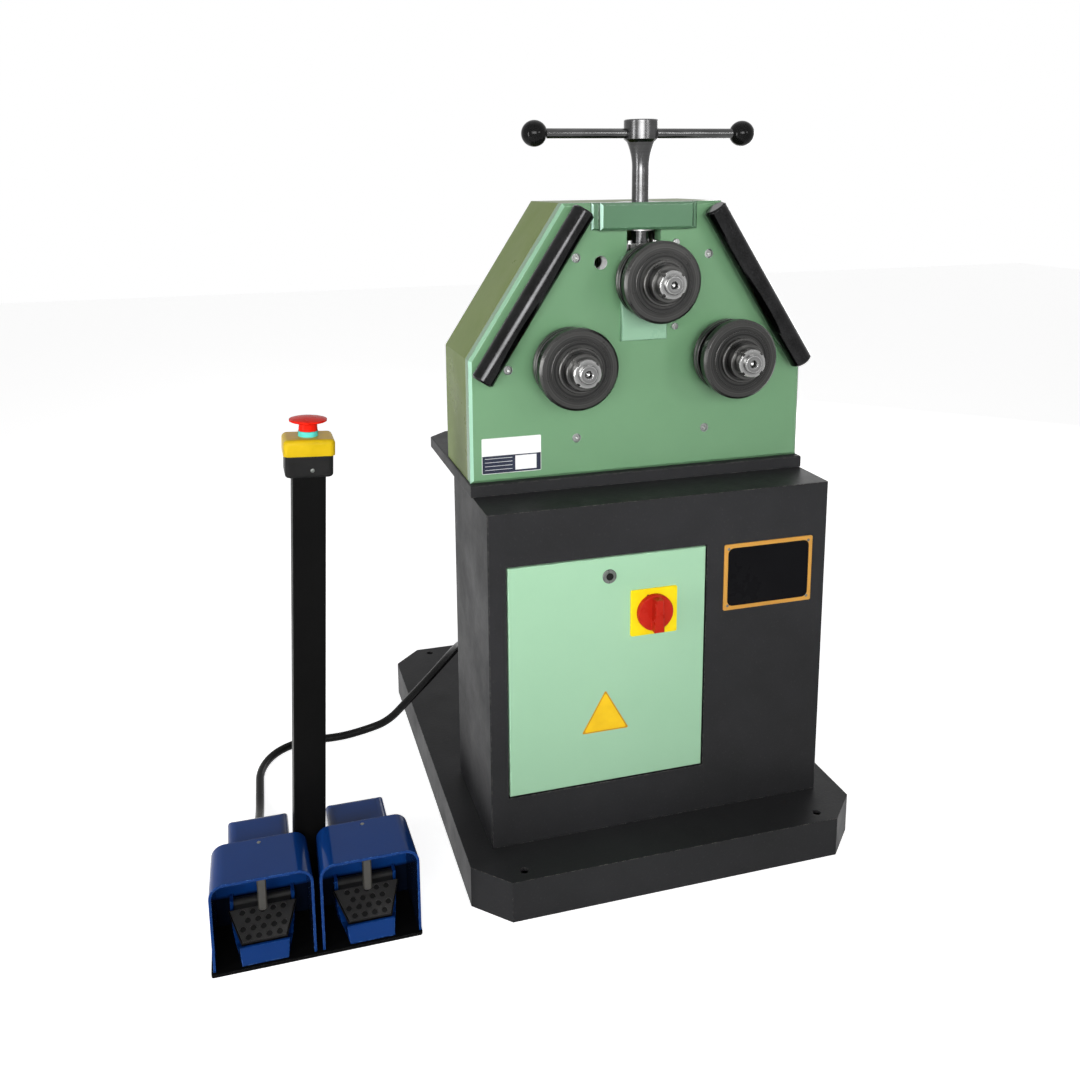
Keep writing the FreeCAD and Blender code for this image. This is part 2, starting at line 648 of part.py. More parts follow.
def make_control_gear():
    back = CABINET_REAR - CABINET_SHEET
    y0 = back - GEAR_PLATE
    x0 = DOOR_CENTRE_X - GEAR_PLATE_WIDTH / 2
    z0 = DOOR_BOTTOM + 20
    plate = block(x0, x0 + GEAR_PLATE_WIDTH, y0, back, z0, z0 + GEAR_PLATE_HEIGHT)
    parts = [plate]
    width, depth, height = CONTACTOR
    row = z0 + GEAR_PLATE_HEIGHT - height - 30
    for i in range(CONTACTOR_COUNT):
        x = x0 + 35 + i * CONTACTOR_PITCH
        base = block(x, x + width, y0 - depth, y0, row, row + height)
        nose = block(x + 6, x + width - 6, y0 - depth - 6, y0 - depth, row + 18, row + height - 18)
        parts.append(base.fuse(nose).removeSplitter())
    width, depth, height = TRANSFORMER
    parts.append(block(x0 + 30, x0 + 30 + width, y0 - depth, y0, z0 + 80, z0 + 80 + height))
    width, depth, height = TERMINALS
    parts.append(block(x0 + 40, x0 + 40 + width, y0 - depth, y0, z0 + 20, z0 + 20 + height))
    return Part.Compound(parts)


# ---- bed and head ----
def make_bed_plate():
    half, y0, y1 = BED_WIDTH / 2, BED_FRONT, BED_FRONT + BED_LENGTH
    plate = plan_prism([(-half, y0), (half, y0), (half, y1 - BED_CORNER), (half - BED_CORNER, y1),
                        (BED_CORNER - half, y1), (-half, y1 - BED_CORNER)], CABINET_TOP, BED_TOP)
    plate = plate.makeChamfer(EDGE_BREAK, edges_at(plate, "z", BED_TOP))
    gussets = []
    reach = CABINET_REAR + GUSSET
    for side in (-1, 1):
        x = side * GUSSET_SPREAD / 2 - GUSSET_PLATE / 2
        gussets.append(side_prism([(CABINET_REAR, CABINET_TOP), (reach, CABINET_TOP),
                                   (reach, CABINET_TOP - 20), (CABINET_REAR, CABINET_TOP - GUSSET)],
                                  x, x + GUSSET_PLATE))
    return fuse_all(plate, gussets)


def front_screw_places():
    places = []
    for x, height in (UPPER_SCREW, SIDE_SCREW, LOWER_SCREW):
        places += [(-x, BED_TOP + height), (x, BED_TOP + height)]
    return places


def guide_bar_line():
    """Middle and direction of the right-hand bar, level with the sloping edge of the head."""
    dx, dz = (HEAD_TOP_WIDTH - HEAD_WIDTH) / 2, HEAD_HEIGHT - HEAD_KNEE
    length = math.hypot(dx, dz)
    along = Vector(dx / length, 0, dz / length)
    inward = Vector(-along.z, 0, along.x)
    edge_middle = Vector((HEAD_WIDTH + HEAD_TOP_WIDTH) / 4, HEAD_FRONT - GUIDE_BAR_STANDOFF,
                         BED_TOP + (HEAD_KNEE + HEAD_HEIGHT) / 2)
    return edge_middle + inward * GUIDE_BAR_INSET - along * GUIDE_BAR_DROP, along


def make_guide_bar():
    middle, along = guide_bar_line()
    half, c, r = GUIDE_BAR_LENGTH / 2, GUIDE_BAR_CHAMFER, GUIDE_BAR_R
    profile = [(0, 0), (r - c, 0), (r, c), (r, 2 * half - c), (r - c, 2 * half), (0, 2 * half)]
    return lathe(profile, middle - along * half, along)


def make_guide_bars():
    bar = make_guide_bar()
    return Part.Compound([mirrored(bar), bar])


def bar_spacers():
    """Two bosses behind each guide bar, hollowed to its curve."""
    middle, along = guide_bar_line()
    bar = rod(GUIDE_BAR_R, middle - along * GUIDE_BAR_LENGTH / 2, along, GUIDE_BAR_LENGTH)
    spacers = []
    for side in (-1, 1):
        place = middle + along * side * SPACER_SPREAD / 2
        boss = rod(SPACER_R, (place.x, place.y, place.z), Y_AXIS, GUIDE_BAR_STANDOFF + 1)
        spacers.append(boss.cut(bar))
    return spacers + [mirrored(s) for s in spacers]


def make_front_plate():
    plate = front_prism(head_outline(), HEAD_FRONT, PLATE_BACK)
    plate = plate.makeChamfer(FRONT_PLATE_CHAMFER, edges_at(plate, "y", HEAD_FRONT))
    half = SLOT_WIDTH / 2
    plate = plate.cut(block(-half, half, HEAD_FRONT, PLATE_BACK, BED_TOP + SLOT_FLOOR, HEAD_TOP))
    for x in (-ROLL_SPACING / 2, ROLL_SPACING / 2):
        plate = plate.cut(rod(BUSH_SEAT_R, (x, HEAD_FRONT, LOWER_AXIS), Y_AXIS, FRONT_PLATE))
    for x, z in front_screw_places():
        plate = plate.cut(rod(COUNTERBORE_R, (x, HEAD_FRONT, z), Y_AXIS, COUNTERBORE))
    plate = plate.cut(rod(ACCESSORY_HOLE_R, (ACCESSORY_HOLE_X, HEAD_FRONT, BED_TOP + ACCESSORY_HOLE_HEIGHT),
                          Y_AXIS, FRONT_PLATE))
    pocket = PLATE_BACK - PINION_POCKET
    plate = plate.cut(rod(PINION_SHAFT_R + RUNNING, (0, pocket, PINION_AXIS), Y_AXIS, PINION_POCKET))
    return fuse_all(plate, bar_spacers())


def make_frame_screws():
    """Socket screws sunk in the front plate, and the two gib screws on its face."""
    screws = []
    for x, z in front_screw_places():
        seat = HEAD_FRONT + COUNTERBORE
        head = rod(SCREW_HEAD_R, (x, seat - SCREW_HEAD, z), Y_AXIS, SCREW_HEAD)
        socket = rod(SOCKET_R, (x, seat - SCREW_HEAD, z), Y_AXIS, SCREW_HEAD / 2)
        screws.append(head.cut(socket))
    for height in GIB_SCREW_HEIGHTS:
        z = BED_TOP + height
        head = rod(GIB_SCREW_R, (GIB_SCREW_X, HEAD_FRONT - GIB_SCREW_HEAD, z), Y_AXIS, GIB_SCREW_HEAD)
        head = head.makeChamfer(1.0, edges_at(head, "y", HEAD_FRONT - GIB_SCREW_HEAD))
        screws.append(head)
    return Part.Compound(screws)


def make_head_cover():
    shell = front_prism(head_outline(), PLATE_BACK, COVER_BACK)
    inner = head_outline(HEAD_SHEET)
    shell = shell.cut(front_prism(inner, PLATE_BACK, COVER_BACK))
    half, flange = HEAD_WIDTH / 2, HEAD_FLANGE
    feet = [block(-half, flange - half, PLATE_BACK, COVER_BACK, BED_TOP, BED_TOP + HEAD_SHEET),
            block(half - flange, half, PLATE_BACK, COVER_BACK, BED_TOP, BED_TOP + HEAD_SHEET)]
    half = SLOT_WIDTH / 2
    notch = block(-half, half, PLATE_BACK, HEAD_FRONT + CROSSHEAD_TONGUE, HEAD_TOP - HEAD_SHEET, HEAD_TOP)
    return fuse_all(shell, feet).cut(notch)


def make_head_back_cover():
    cover = front_prism(head_outline(), COVER_BACK, COVER_BACK + HEAD_SHEET)
    return cover.cut(rod(GEARBOX_FLANGE_R + 1, (0, COVER_BACK, PINION_AXIS), Y_AXIS, HEAD_SHEET))


def make_rear_bearing_plate():
    half = HEAD_WIDTH / 2 - REAR_PLATE_MARGIN
    knee = ROLL_HEIGHT
    top = half - (REAR_PLATE_HEIGHT - knee)
    z0 = BED_TOP
    plate = front_prism([(-half, z0), (half, z0), (half, z0 + knee), (top, z0 + REAR_PLATE_HEIGHT),
                         (-top, z0 + REAR_PLATE_HEIGHT), (-half, z0 + knee)],
                        REAR_PLATE_FRONT, REAR_PLATE_BACK)
    for x in (-ROLL_SPACING / 2, ROLL_SPACING / 2):
        plate = plate.cut(rod(BUSH_SEAT_R, (x, REAR_PLATE_FRONT, LOWER_AXIS), Y_AXIS, REAR_PLATE))
    return plate.cut(rod(PINION_SHAFT_R + PINION_BUSH_WALL + RUNNING, (0, REAR_PLATE_FRONT, PINION_AXIS),
                         Y_AXIS, REAR_PLATE))


def make_shaft_bearings():
    bushes = []
    outer, bore = JOURNAL_R + BUSH_WALL, JOURNAL_R + RUNNING
    for x in (-ROLL_SPACING / 2, ROLL_SPACING / 2):
        y0 = HEAD_FRONT - BUSH_FLANGE
        front = rod(outer, (x, y0, LOWER_AXIS), Y_AXIS, BUSH_FLANGE + FRONT_PLATE)
        front = front.fuse(rod(BUSH_FLANGE_R, (x, y0, LOWER_AXIS), Y_AXIS, BUSH_FLANGE)).removeSplitter()
        bushes.append(front.cut(rod(bore, (x, y0, LOWER_AXIS), Y_AXIS, BUSH_FLANGE + FRONT_PLATE)))
        bushes.append(ring(outer, bore, (x, REAR_PLATE_FRONT, LOWER_AXIS), Y_AXIS, REAR_PLATE))
    bushes.append(ring(PINION_SHAFT_R + PINION_BUSH_WALL, PINION_SHAFT_R + RUNNING,
                       (0, REAR_PLATE_FRONT, PINION_AXIS), Y_AXIS, REAR_PLATE))
    return Part.Compound(bushes)


def make_crosshead():
    z0, z1 = CROSSHEAD_BOTTOM, HEAD_TOP
    pad_front = HEAD_FRONT - CROSSHEAD_PAD
    pad = block(-CROSSHEAD_PAD_WIDTH / 2, CROSSHEAD_PAD_WIDTH / 2, pad_front, HEAD_FRONT, z0, z1)
    front = pad_front - CROSSHEAD_STEP
    face = block(-CROSSHEAD_WIDTH / 2, CROSSHEAD_WIDTH / 2, front, pad_front, z0, z1)
    face = face.makeChamfer(CROSSHEAD_FACE_CHAMFER, edges_at(face, "y", front))
    pad = pad.makeChamfer(CROSSHEAD_PAD_CHAMFER, edges_at(pad, "y", pad_front))
    half = SLOT_WIDTH / 2 - SLIDING
    tongue = block(-half, half, HEAD_FRONT, HEAD_FRONT + CROSSHEAD_TONGUE, z0, z1)
    body = fuse_all(pad, [face, tongue])
    return body.cut(rod(NUT_R + RUNNING, (0, SCREW_Y, z0), Z_AXIS, CROSSHEAD_HEIGHT))


def make_screw_nut():
    body = rod(NUT_R, (0, SCREW_Y, CROSSHEAD_BOTTOM), Z_AXIS, CROSSHEAD_HEIGHT)
    low = CROSSHEAD_BOTTOM - NUT_FLANGE
    flange = rod(NUT_FLANGE_R, (0, SCREW_Y, low), Z_AXIS, NUT_FLANGE)
    bore = rod(SCREW_R + RUNNING, (0, SCREW_Y, low), Z_AXIS, CROSSHEAD_HEIGHT + NUT_FLANGE)
    return body.fuse(flange).removeSplitter().cut(bore)


def make_slide_gibs():
    x0 = SLOT_WIDTH / 2
    z1 = HEAD_TOP - HEAD_SHEET - SLIDING
    gib = block(x0, x0 + GIB_WIDTH, PLATE_BACK, GIB_BACK, z1 - GIB_HEIGHT, z1)
    return Part.Compound([mirrored(gib), gib])


# ---- slide ----
def make_slide_block():
    half = SLOT_WIDTH / 2 - SLIDING
    front = HEAD_FRONT - SLIDING
    body = block(-half, half, front, GIB_BACK + SLIDING, SLIDE_TOP - SLIDE_HEIGHT, SLIDE_TOP)
    face_top = TOP_AXIS + SLIDE_FACE_TOP
    face_half = SLIDE_FACE_WIDTH / 2
    face = block(-face_half, face_half, front - SLIDE_FACE, front, face_top - SLIDE_FACE_HEIGHT, face_top)
    face = face.makeChamfer(EDGE_BREAK, edges_at(face, "y", front - SLIDE_FACE))
    slide = fuse_all(face, [body])
    depth = GIB_BACK - front + SLIDE_FACE + SLIDING
    seat = JOURNAL_R + SLIDE_BUSH_WALL + RUNNING
    slide = slide.cut(rod(seat, (0, front - SLIDE_FACE, TOP_AXIS), Y_AXIS, depth))
    return slide.cut(rod(COLLAR_POCKET_R, (0, SCREW_Y, SLIDE_TOP - COLLAR_POCKET), Z_AXIS,
                         COLLAR_POCKET))


def make_top_bushes():
    outer, bore = JOURNAL_R + SLIDE_BUSH_WALL, JOURNAL_R + RUNNING
    front = HEAD_FRONT - SLIDING - SLIDE_FACE
    back = GIB_BACK + SLIDING
    return Part.Compound([ring(outer, bore, (0, front, TOP_AXIS), Y_AXIS, FRONT_PLATE),
                          ring(outer, bore, (0, back - FRONT_PLATE, TOP_AXIS), Y_AXIS, FRONT_PLATE)])


def make_slide_keeper():
    """Plate on the back of the slide that runs behind both gibs."""
    half = SLOT_WIDTH / 2 + KEEPER_LIP
    y0 = GIB_BACK + SLIDING
    plate = block(-half, half, y0, y0 + KEEPER, SLIDE_TOP - SLIDE_HEIGHT, SLIDE_TOP)
    return plate.makeChamfer(1.0, edges_at(plate, "y", y0 + KEEPER))


def make_thrust_cap():
    half = SLOT_WIDTH / 2 - SLIDING
    y0 = HEAD_FRONT + 1
    cap = block(-half, half, y0, y0 + CAP_LENGTH, SLIDE_TOP, SLIDE_TOP + CAP_THICKNESS)
    cap = cap.cut(rod(SCREW_R + SLIDING, (0, SCREW_Y, SLIDE_TOP), Z_AXIS, CAP_THICKNESS))
    washer = ring(COLLAR_POCKET_R - SLIDING, SPIGOT_R + SLIDING,
                  (0, SCREW_Y, SLIDE_TOP - COLLAR_POCKET), Z_AXIS, WASHER)
    heads = []
    for x in (CAP_SCREW_R + 2 - half, half - CAP_SCREW_R - 2):
        for y in (y0 + CAP_SCREW_R + 2, y0 + CAP_LENGTH - CAP_SCREW_R - 2):
            heads.append(rod(CAP_SCREW_R, (x, y, SLIDE_TOP + CAP_THICKNESS), Z_AXIS, CAP_SCREW_R))
    return Part.Compound([cap, washer] + heads)


def make_feed_screw():
    """One turned piece: spigot, thrust collar, screw, concave taper and hub."""
    foot = SLIDE_TOP - COLLAR_POCKET + SLIDING
    collar = SLIDE_TOP - SLIDING - COLLAR_HEIGHT
    taper = HANDLE_TOP - HUB_HEIGHT - TAPER_HEIGHT
    hub = HANDLE_TOP - HUB_HEIGHT
    profile = [(0, foot), (SPIGOT_R, foot), (SPIGOT_R, collar), (COLLAR_R, collar),
               (COLLAR_R, collar + COLLAR_HEIGHT), (SCREW_R, collar + COLLAR_HEIGHT), (SCREW_R, taper)]
    edges = [Part.makeLine(Vector(a, 0, b), Vector(c, 0, d))
             for (a, b), (c, d) in zip(profile, profile[1:])]
    bend = Vector(SCREW_R + (TAPER_TOP_R - SCREW_R) * 0.3, 0, taper + TAPER_HEIGHT * 0.6)
    edges.append(Part.Arc(Vector(SCREW_R, 0, taper), bend, Vector(TAPER_TOP_R, 0, hub)).toShape())
    rim = [(TAPER_TOP_R, hub), (HUB_R, hub + HUB_CHAMFER), (HUB_R, HANDLE_TOP - EDGE_BREAK),
           (HUB_R - EDGE_BREAK, HANDLE_TOP), (0, HANDLE_TOP), (0, foot)]
    edges += [Part.makeLine(Vector(a, 0, b), Vector(c, 0, d)) for (a, b), (c, d) in zip(rim, rim[1:])]
    screw = Part.Face(Part.Wire(edges)).revolve(Vector(), Z_AXIS, 360)
    screw.translate(Vector(0, SCREW_Y, 0))
    return screw.cut(rod(HANDLE_BAR_R, (-HUB_R, SCREW_Y, HANDLE_BAR_Z), X_AXIS, 2 * HUB_R))


def make_handle_bar():
    half = HANDLE_SPAN / 2 - BALL_R + BALL_SOCKET
    return rod(HANDLE_BAR_R, (-half, SCREW_Y, HANDLE_BAR_Z), X_AXIS, 2 * half)


def make_ball_knobs():
    """Balls turned about the bar, each with a socket that takes the bar's end."""
    mouth = math.sqrt(BALL_R ** 2 - HANDLE_BAR_R ** 2)
    floor = BALL_SOCKET - BALL_R
    corners = [(0, BALL_R), (0, floor), (HANDLE_BAR_R, floor), (HANDLE_BAR_R, -mouth)]
    edges = [Part.makeLine(Vector(a, 0, b), Vector(c, 0, d)) for (a, b), (c, d) in zip(corners, corners[1:])]
    round_side = Part.Arc(Vector(HANDLE_BAR_R, 0, -mouth), Vector(BALL_R, 0, 0), Vector(0, 0, BALL_R))
    edges.append(round_side.toShape())
    balls = []
    for side in (-1, 1):
        ball = Part.Face(Part.Wire(edges)).revolve(Vector(), Z_AXIS, 360)
        place = Vector(side * HANDLE_SPAN / 2, SCREW_Y, HANDLE_BAR_Z)
        ball.Placement = FreeCAD.Placement(place, FreeCAD.Rotation(Z_AXIS, X_AXIS * side))
        balls.append(ball)
    return Part.Compound(balls)


# ---- rolls ----
def make_roll_shaft(x, z, back, bearing_face):
    """Shaft turned about Y: journal, shoulder against its bearing, roll seat, thread and centre hole."""
    y = [back, bearing_face - SLIDING, ROLL_BACK, NUT_BACK, SHAFT_END]
    h = [back - value for value in y]
    profile = [(0, 0), (JOURNAL_R - 1, 0), (JOURNAL_R, 1), (JOURNAL_R, h[1]), (SHOULDER_R, h[1]),
               (SHOULDER_R, h[2]), (ROLL_SEAT_R, h[2]), (ROLL_SEAT_R, h[3]), (THREAD_R, h[3]),
               (THREAD_R, h[4] - EDGE_BREAK), (THREAD_R - EDGE_BREAK, h[4]),
               (CENTRE_DRILL_R + EDGE_BREAK, h[4]), (CENTRE_DRILL_R, h[4] - EDGE_BREAK),
               (CENTRE_DRILL_R, h[4] - CENTRE_DRILL_DEPTH),
               (0, h[4] - CENTRE_DRILL_DEPTH - CENTRE_DRILL_R / 2)]
    return lathe(profile, (x, back, z), -Y_AXIS)


def chamfered_disc(radius, bore, y0, thickness, chamfer, x, z):
    """Disc standing forward of y0."""
    profile = [(bore, 0), (radius - chamfer, 0), (radius, chamfer), (radius, thickness - chamfer),
               (radius - chamfer, thickness), (bore, thickness)]
    return lathe(profile, (x, y0, z), -Y_AXIS)


def make_rolls(x, z):
    bore = ROLL_SEAT_R + RUNNING
    half = REAR_DISC / 2
    discs = [chamfered_disc(REAR_DISC_R, bore, ROLL_BACK, half, REAR_DISC_CHAMFER, x, z),
             chamfered_disc(REAR_DISC_R, bore, ROLL_BACK - half, half, REAR_DISC_CHAMFER, x, z)]
    y = ROLL_BACK - REAR_DISC
    discs.append(ring(GROOVE_R, bore, (x, y, z), -Y_AXIS, GROOVE))
    discs.append(chamfered_disc(FRONT_DISC_R, bore, y - GROOVE, FRONT_DISC, DISC_CHAMFER, x, z))
    discs.append(chamfered_disc(FACE_RING_R, bore, ROLL_FACE, FACE_RING, FACE_RING / 2, x, z))
    discs.append(chamfered_disc(HUB_RING_R, bore, HUB_RING_BACK, HUB_RING, EDGE_BREAK, x, z))
    discs.append(chamfered_disc(COLLAR_RING_R, bore, HUB_RING_BACK - HUB_RING, COLLAR_RING, EDGE_BREAK, x, z))
    return Part.Compound(discs)


def make_roll_nut(x, z):
    nut = chamfered_disc(ROLL_NUT_R, THREAD_R + RUNNING, NUT_BACK, ROLL_NUT, EDGE_BREAK, x, z)
    half = ROLL_NUT_NOTCH / 2
    floor = z + ROLL_NUT_R - ROLL_NUT_NOTCH / 2
    for turn in (45, 135, 225, 315):
        notch = block(x - half, x + half, NUT_BACK - ROLL_NUT, NUT_BACK, floor, z + ROLL_NUT_R + 1)
        notch.rotate(Vector(x, NUT_BACK, z), Y_AXIS, turn)
        nut = nut.cut(notch)
    return nut


# ---- gear train ----
def gear_pitch_radii():
    centre_distance = math.hypot(ROLL_SPACING / 2, PINION_DROP)
    module = 2 * centre_distance / (GEAR_TEETH + PINION_TEETH)
    return module, module * GEAR_TEETH / 2, module * PINION_TEETH / 2


def involute_gear(teeth, module, phase, width):
    """Spur gear about Z from 0 to width, with a tooth centred on the phase angle in degrees."""
    pitch_r = module * teeth / 2
    base_r = pitch_r * math.cos(math.radians(PRESSURE_ANGLE))
    tip_r = pitch_r + 0.95 * module
    root_r = pitch_r - 1.25 * module
    half_pitch = math.pi / (2 * teeth) - BACKLASH / (4 * pitch_r)
    roll_at_pitch = math.tan(math.radians(PRESSURE_ANGLE)) - math.radians(PRESSURE_ANGLE)

    def half_angle(radius):
        cosine = min(1.0, base_r / radius)
        pressure = math.acos(cosine)
        return half_pitch + roll_at_pitch - (math.tan(pressure) - pressure)

    flank_start = max(base_r, root_r + 0.2 * module)
    radii = [flank_start, pitch_r, tip_r]
    points = []
    for tooth in range(teeth):
        centre = math.radians(phase) + tooth * 2 * math.pi / teeth
        flank = [(root_r, half_angle(flank_start))] + [(r, half_angle(r)) for r in radii]
        for radius, angle in flank:
            points.append((radius, centre - angle))
        for radius, angle in reversed(flank):
            points.append((radius, centre + angle))
    corners = [Vector(r * math.cos(a), r * math.sin(a), 0) for r, a in points]
    return Part.Face(Part.makePolygon(corners + corners[:1])).extrude(Vector(0, 0, width))


def stand_along_y(shape, x, y, z):
    """Turn a shape from the X-Y plane into the X-Z plane, its height going towards +Y."""
    shape.rotate(Vector(), X_AXIS, 90)
    shape.rotate(Vector(), Z_AXIS, 180)
    shape = shape.mirror(Vector(), X_AXIS)
    shape.translate(Vector(x, y, z))
    return shape


def mesh_phases():
    """Tooth phases, in the X-Z plane, that put both gears in mesh with the pinion."""
    module, gear_r, pinion_r = gear_pitch_radii()
    dip = math.degrees(math.atan2(PINION_DROP, ROLL_SPACING / 2))
    pinion_pitch = 360.0 / PINION_TEETH
    left_phase = -dip
    pinion_phase = HALF_TURN - dip + pinion_pitch / 2
    gap = HALF_TURN - dip
    offset = (gap - dip) % pinion_pitch
    right_phase = HALF_TURN + dip - offset * pinion_r / gear_r
    return left_phase, pinion_phase, right_phase


def make_shaft_gear(x, phase):
    module, gear_r, pinion_r = gear_pitch_radii()
    gear = involute_gear(GEAR_TEETH, module, phase, GEAR_WIDTH)
    gear = gear.fuse(rod(GEAR_HUB_R, (0, 0, -GEAR_HUB), Z_AXIS, GEAR_WIDTH + 2 * GEAR_HUB))
    gear = gear.cut(rod(JOURNAL_R, (0, 0, -GEAR_HUB), Z_AXIS, GEAR_WIDTH + 2 * GEAR_HUB)).removeSplitter()
    return stand_along_y(gear, x, HEAD_FRONT + GEAR_BEHIND_FACE, LOWER_AXIS)


def make_drive_pinion(phase):
    module, gear_r, pinion_r = gear_pitch_radii()
    pinion = involute_gear(PINION_TEETH, module, phase, GEAR_WIDTH + 4)
    pinion = stand_along_y(pinion, 0, HEAD_FRONT + GEAR_BEHIND_FACE - 2, PINION_AXIS)
    start = PLATE_BACK - PINION_POCKET + SLIDING
    shaft = rod(PINION_SHAFT_R, (0, start, PINION_AXIS), Y_AXIS, GEARBOX_MIDDLE - start)
    return fuse_all(pinion, [shaft])


# ---- gear unit and motor ----
def make_gearbox():
    y0, y1 = GEARBOX_FRONT, GEARBOX_FRONT + GEARBOX_LENGTH
    half = GEARBOX_WIDTH / 2
    body = block(-half, half, y0, y1, BED_TOP + GEARBOX_FOOT, PINION_AXIS)
    drum = rod(half, (0, y0, PINION_AXIS), Y_AXIS, GEARBOX_LENGTH)
    boss = rod(GEARBOX_FLANGE_R, (0, REAR_PLATE_BACK, PINION_AXIS), Y_AXIS, y0 - REAR_PLATE_BACK)
    cap = rod(GEARBOX_FLANGE_R, (0, y1, PINION_AXIS), Y_AXIS, 8)
    foot_half = GEARBOX_FOOT_WIDTH / 2
    foot = block(-foot_half, foot_half, y0, y1, BED_TOP, BED_TOP + GEARBOX_FOOT)
    body = fuse_all(body, [drum, boss, cap, foot])
    return body.cut(rod(PINION_SHAFT_R + RUNNING, (0, REAR_PLATE_BACK, PINION_AXIS), Y_AXIS,
                        GEARBOX_MIDDLE + SLIDING - REAR_PLATE_BACK))


def make_motor():
    """Finned motor on the side of the gear unit, with its terminal box on top."""
    x0 = GEARBOX_WIDTH / 2
    centre = (x0, GEARBOX_MIDDLE, WORM_AXIS)
    flange = rod(MOTOR_FLANGE_R, centre, X_AXIS, MOTOR_FLANGE)
    barrel = rod(MOTOR_R, centre, X_AXIS, MOTOR_FLANGE + MOTOR_LENGTH)
    parts = [barrel]
    fin = block(x0 + MOTOR_FLANGE, x0 + MOTOR_FLANGE + MOTOR_LENGTH,
                GEARBOX_MIDDLE - FIN_THICKNESS / 2, GEARBOX_MIDDLE + FIN_THICKNESS / 2,
                WORM_AXIS, WORM_AXIS + MOTOR_R + FIN_HEIGHT)
    for i in range(1, FIN_COUNT):
        copy = fin.copy()
        copy.rotate(Vector(x0, GEARBOX_MIDDLE, WORM_AXIS), X_AXIS, i * 360.0 / FIN_COUNT)
        parts.append(copy)
    width, depth, height = TERMINAL_BOX
    x_box = x0 + MOTOR_FLANGE + 25
    box = block(x_box, x_box + width, GEARBOX_MIDDLE - depth / 2, GEARBOX_MIDDLE + depth / 2,
                WORM_AXIS, WORM_AXIS + MOTOR_R + height)
    return fuse_all(flange, parts + [box])


def make_motor_fan_cowl():
    x0 = GEARBOX_WIDTH / 2 + MOTOR_FLANGE + MOTOR_LENGTH
    start = (x0, GEARBOX_MIDDLE, WORM_AXIS)
    cowl = rod(COWL_R, start, X_AXIS, COWL_LENGTH)
    cowl = cowl.makeChamfer(COWL_CHAMFER, edges_at(cowl, "x", x0 + COWL_LENGTH))
    cowl = cowl.cut(rod(COWL_R - COWL_SHEET, (x0 + COWL_SHEET, GEARBOX_MIDDLE, WORM_AXIS), X_AXIS,
                        COWL_LENGTH - 2 * COWL_SHEET - 4))
    for step in range(-2, 3):
        z = WORM_AXIS + step * 18
        cowl = cowl.cut(block(x0 + COWL_SHEET, x0 + COWL_LENGTH, GEARBOX_MIDDLE - 36, GEARBOX_MIDDLE + 36,
                              z - 3, z + 3))
    return cowl


# ---- pedal unit ----
def make_foot_plate():
    plate = block(FOOT_X - FOOT_LEFT, FOOT_X + FOOT_RIGHT, FOOT_FRONT, FOOT_FRONT + FOOT_LENGTH,
                  0, FOOT_PLATE)
    return plate.makeFillet(4.0, upright_edges(plate))


def guard_wire(x, y, width, height, radius):
    """Arch outline standing on the foot plate: two sides, a flat top and two round corners."""
    half, z0, z1 = width / 2, FOOT_PLATE, FOOT_PLATE + height
    k = radius * (1 - math.sqrt(0.5))
    left, right = x - half, x + half

    def at(px, pz):
        return Vector(px, y, pz)

    edges = [Part.makeLine(at(left, z0), at(left, z1 - radius)),
             Part.Arc(at(left, z1 - radius), at(left + k, z1 - k), at(left + radius, z1)).toShape(),
             Part.makeLine(at(left + radius, z1), at(right - radius, z1)),
             Part.Arc(at(right - radius, z1), at(right - k, z1 - k), at(right, z1 - radius)).toShape(),
             Part.makeLine(at(right, z1 - radius), at(right, z0)),
             Part.makeLine(at(right, z0), at(left, z0))]
    return Part.Wire(edges)


def guard_form(x, inset, y0, y1):
    """Hood body, tapering from front to back, drawn in by a wall thickness."""
    front = guard_wire(x, y0, GUARD_WIDTH - 2 * inset, GUARD_HEIGHT - inset, GUARD_RADIUS - inset)
    back = guard_wire(x, y1, GUARD_REAR_WIDTH - 2 * inset, GUARD_REAR_HEIGHT - inset, GUARD_RADIUS - inset)
    return Part.makeLoft([front, back], True, True)


def make_guard(x):
    """Open-fronted hood with two ears and a pin for the latch under its roof."""
    hood = guard_form(x, 0, GUARD_FRONT, GUARD_BACK)
    hood = hood.cut(guard_form(x, GUARD_WALL, GUARD_FRONT, GUARD_BACK - GUARD_WALL))
    pass_half = HOUSING_WIDTH / 2 + SLIDING
    hood = hood.cut(block(x - pass_half, x + pass_half, GUARD_BACK - GUARD_WALL, GUARD_BACK,
                          FOOT_PLATE, PEDAL_Z - 6 + SLIDING))
    ears = []
    roof = FOOT_PLATE + GUARD_HEIGHT - GUARD_WALL / 2 - 1.5
    half = LATCH_WIDTH / 2 + SLIDING
    reach = LATCH_BARREL_R - 1
    for x0 in (x - half - LATCH_EAR, x + half):
        ears.append(block(x0, x0 + LATCH_EAR, LATCH_Y - reach, LATCH_Y + reach, LATCH_Z - reach, roof))
    ears.append(rod(LATCH_PIN_R, (x - half - 2, LATCH_Y, LATCH_Z), X_AXIS, 2 * half + 4))
    return fuse_all(hood, ears)


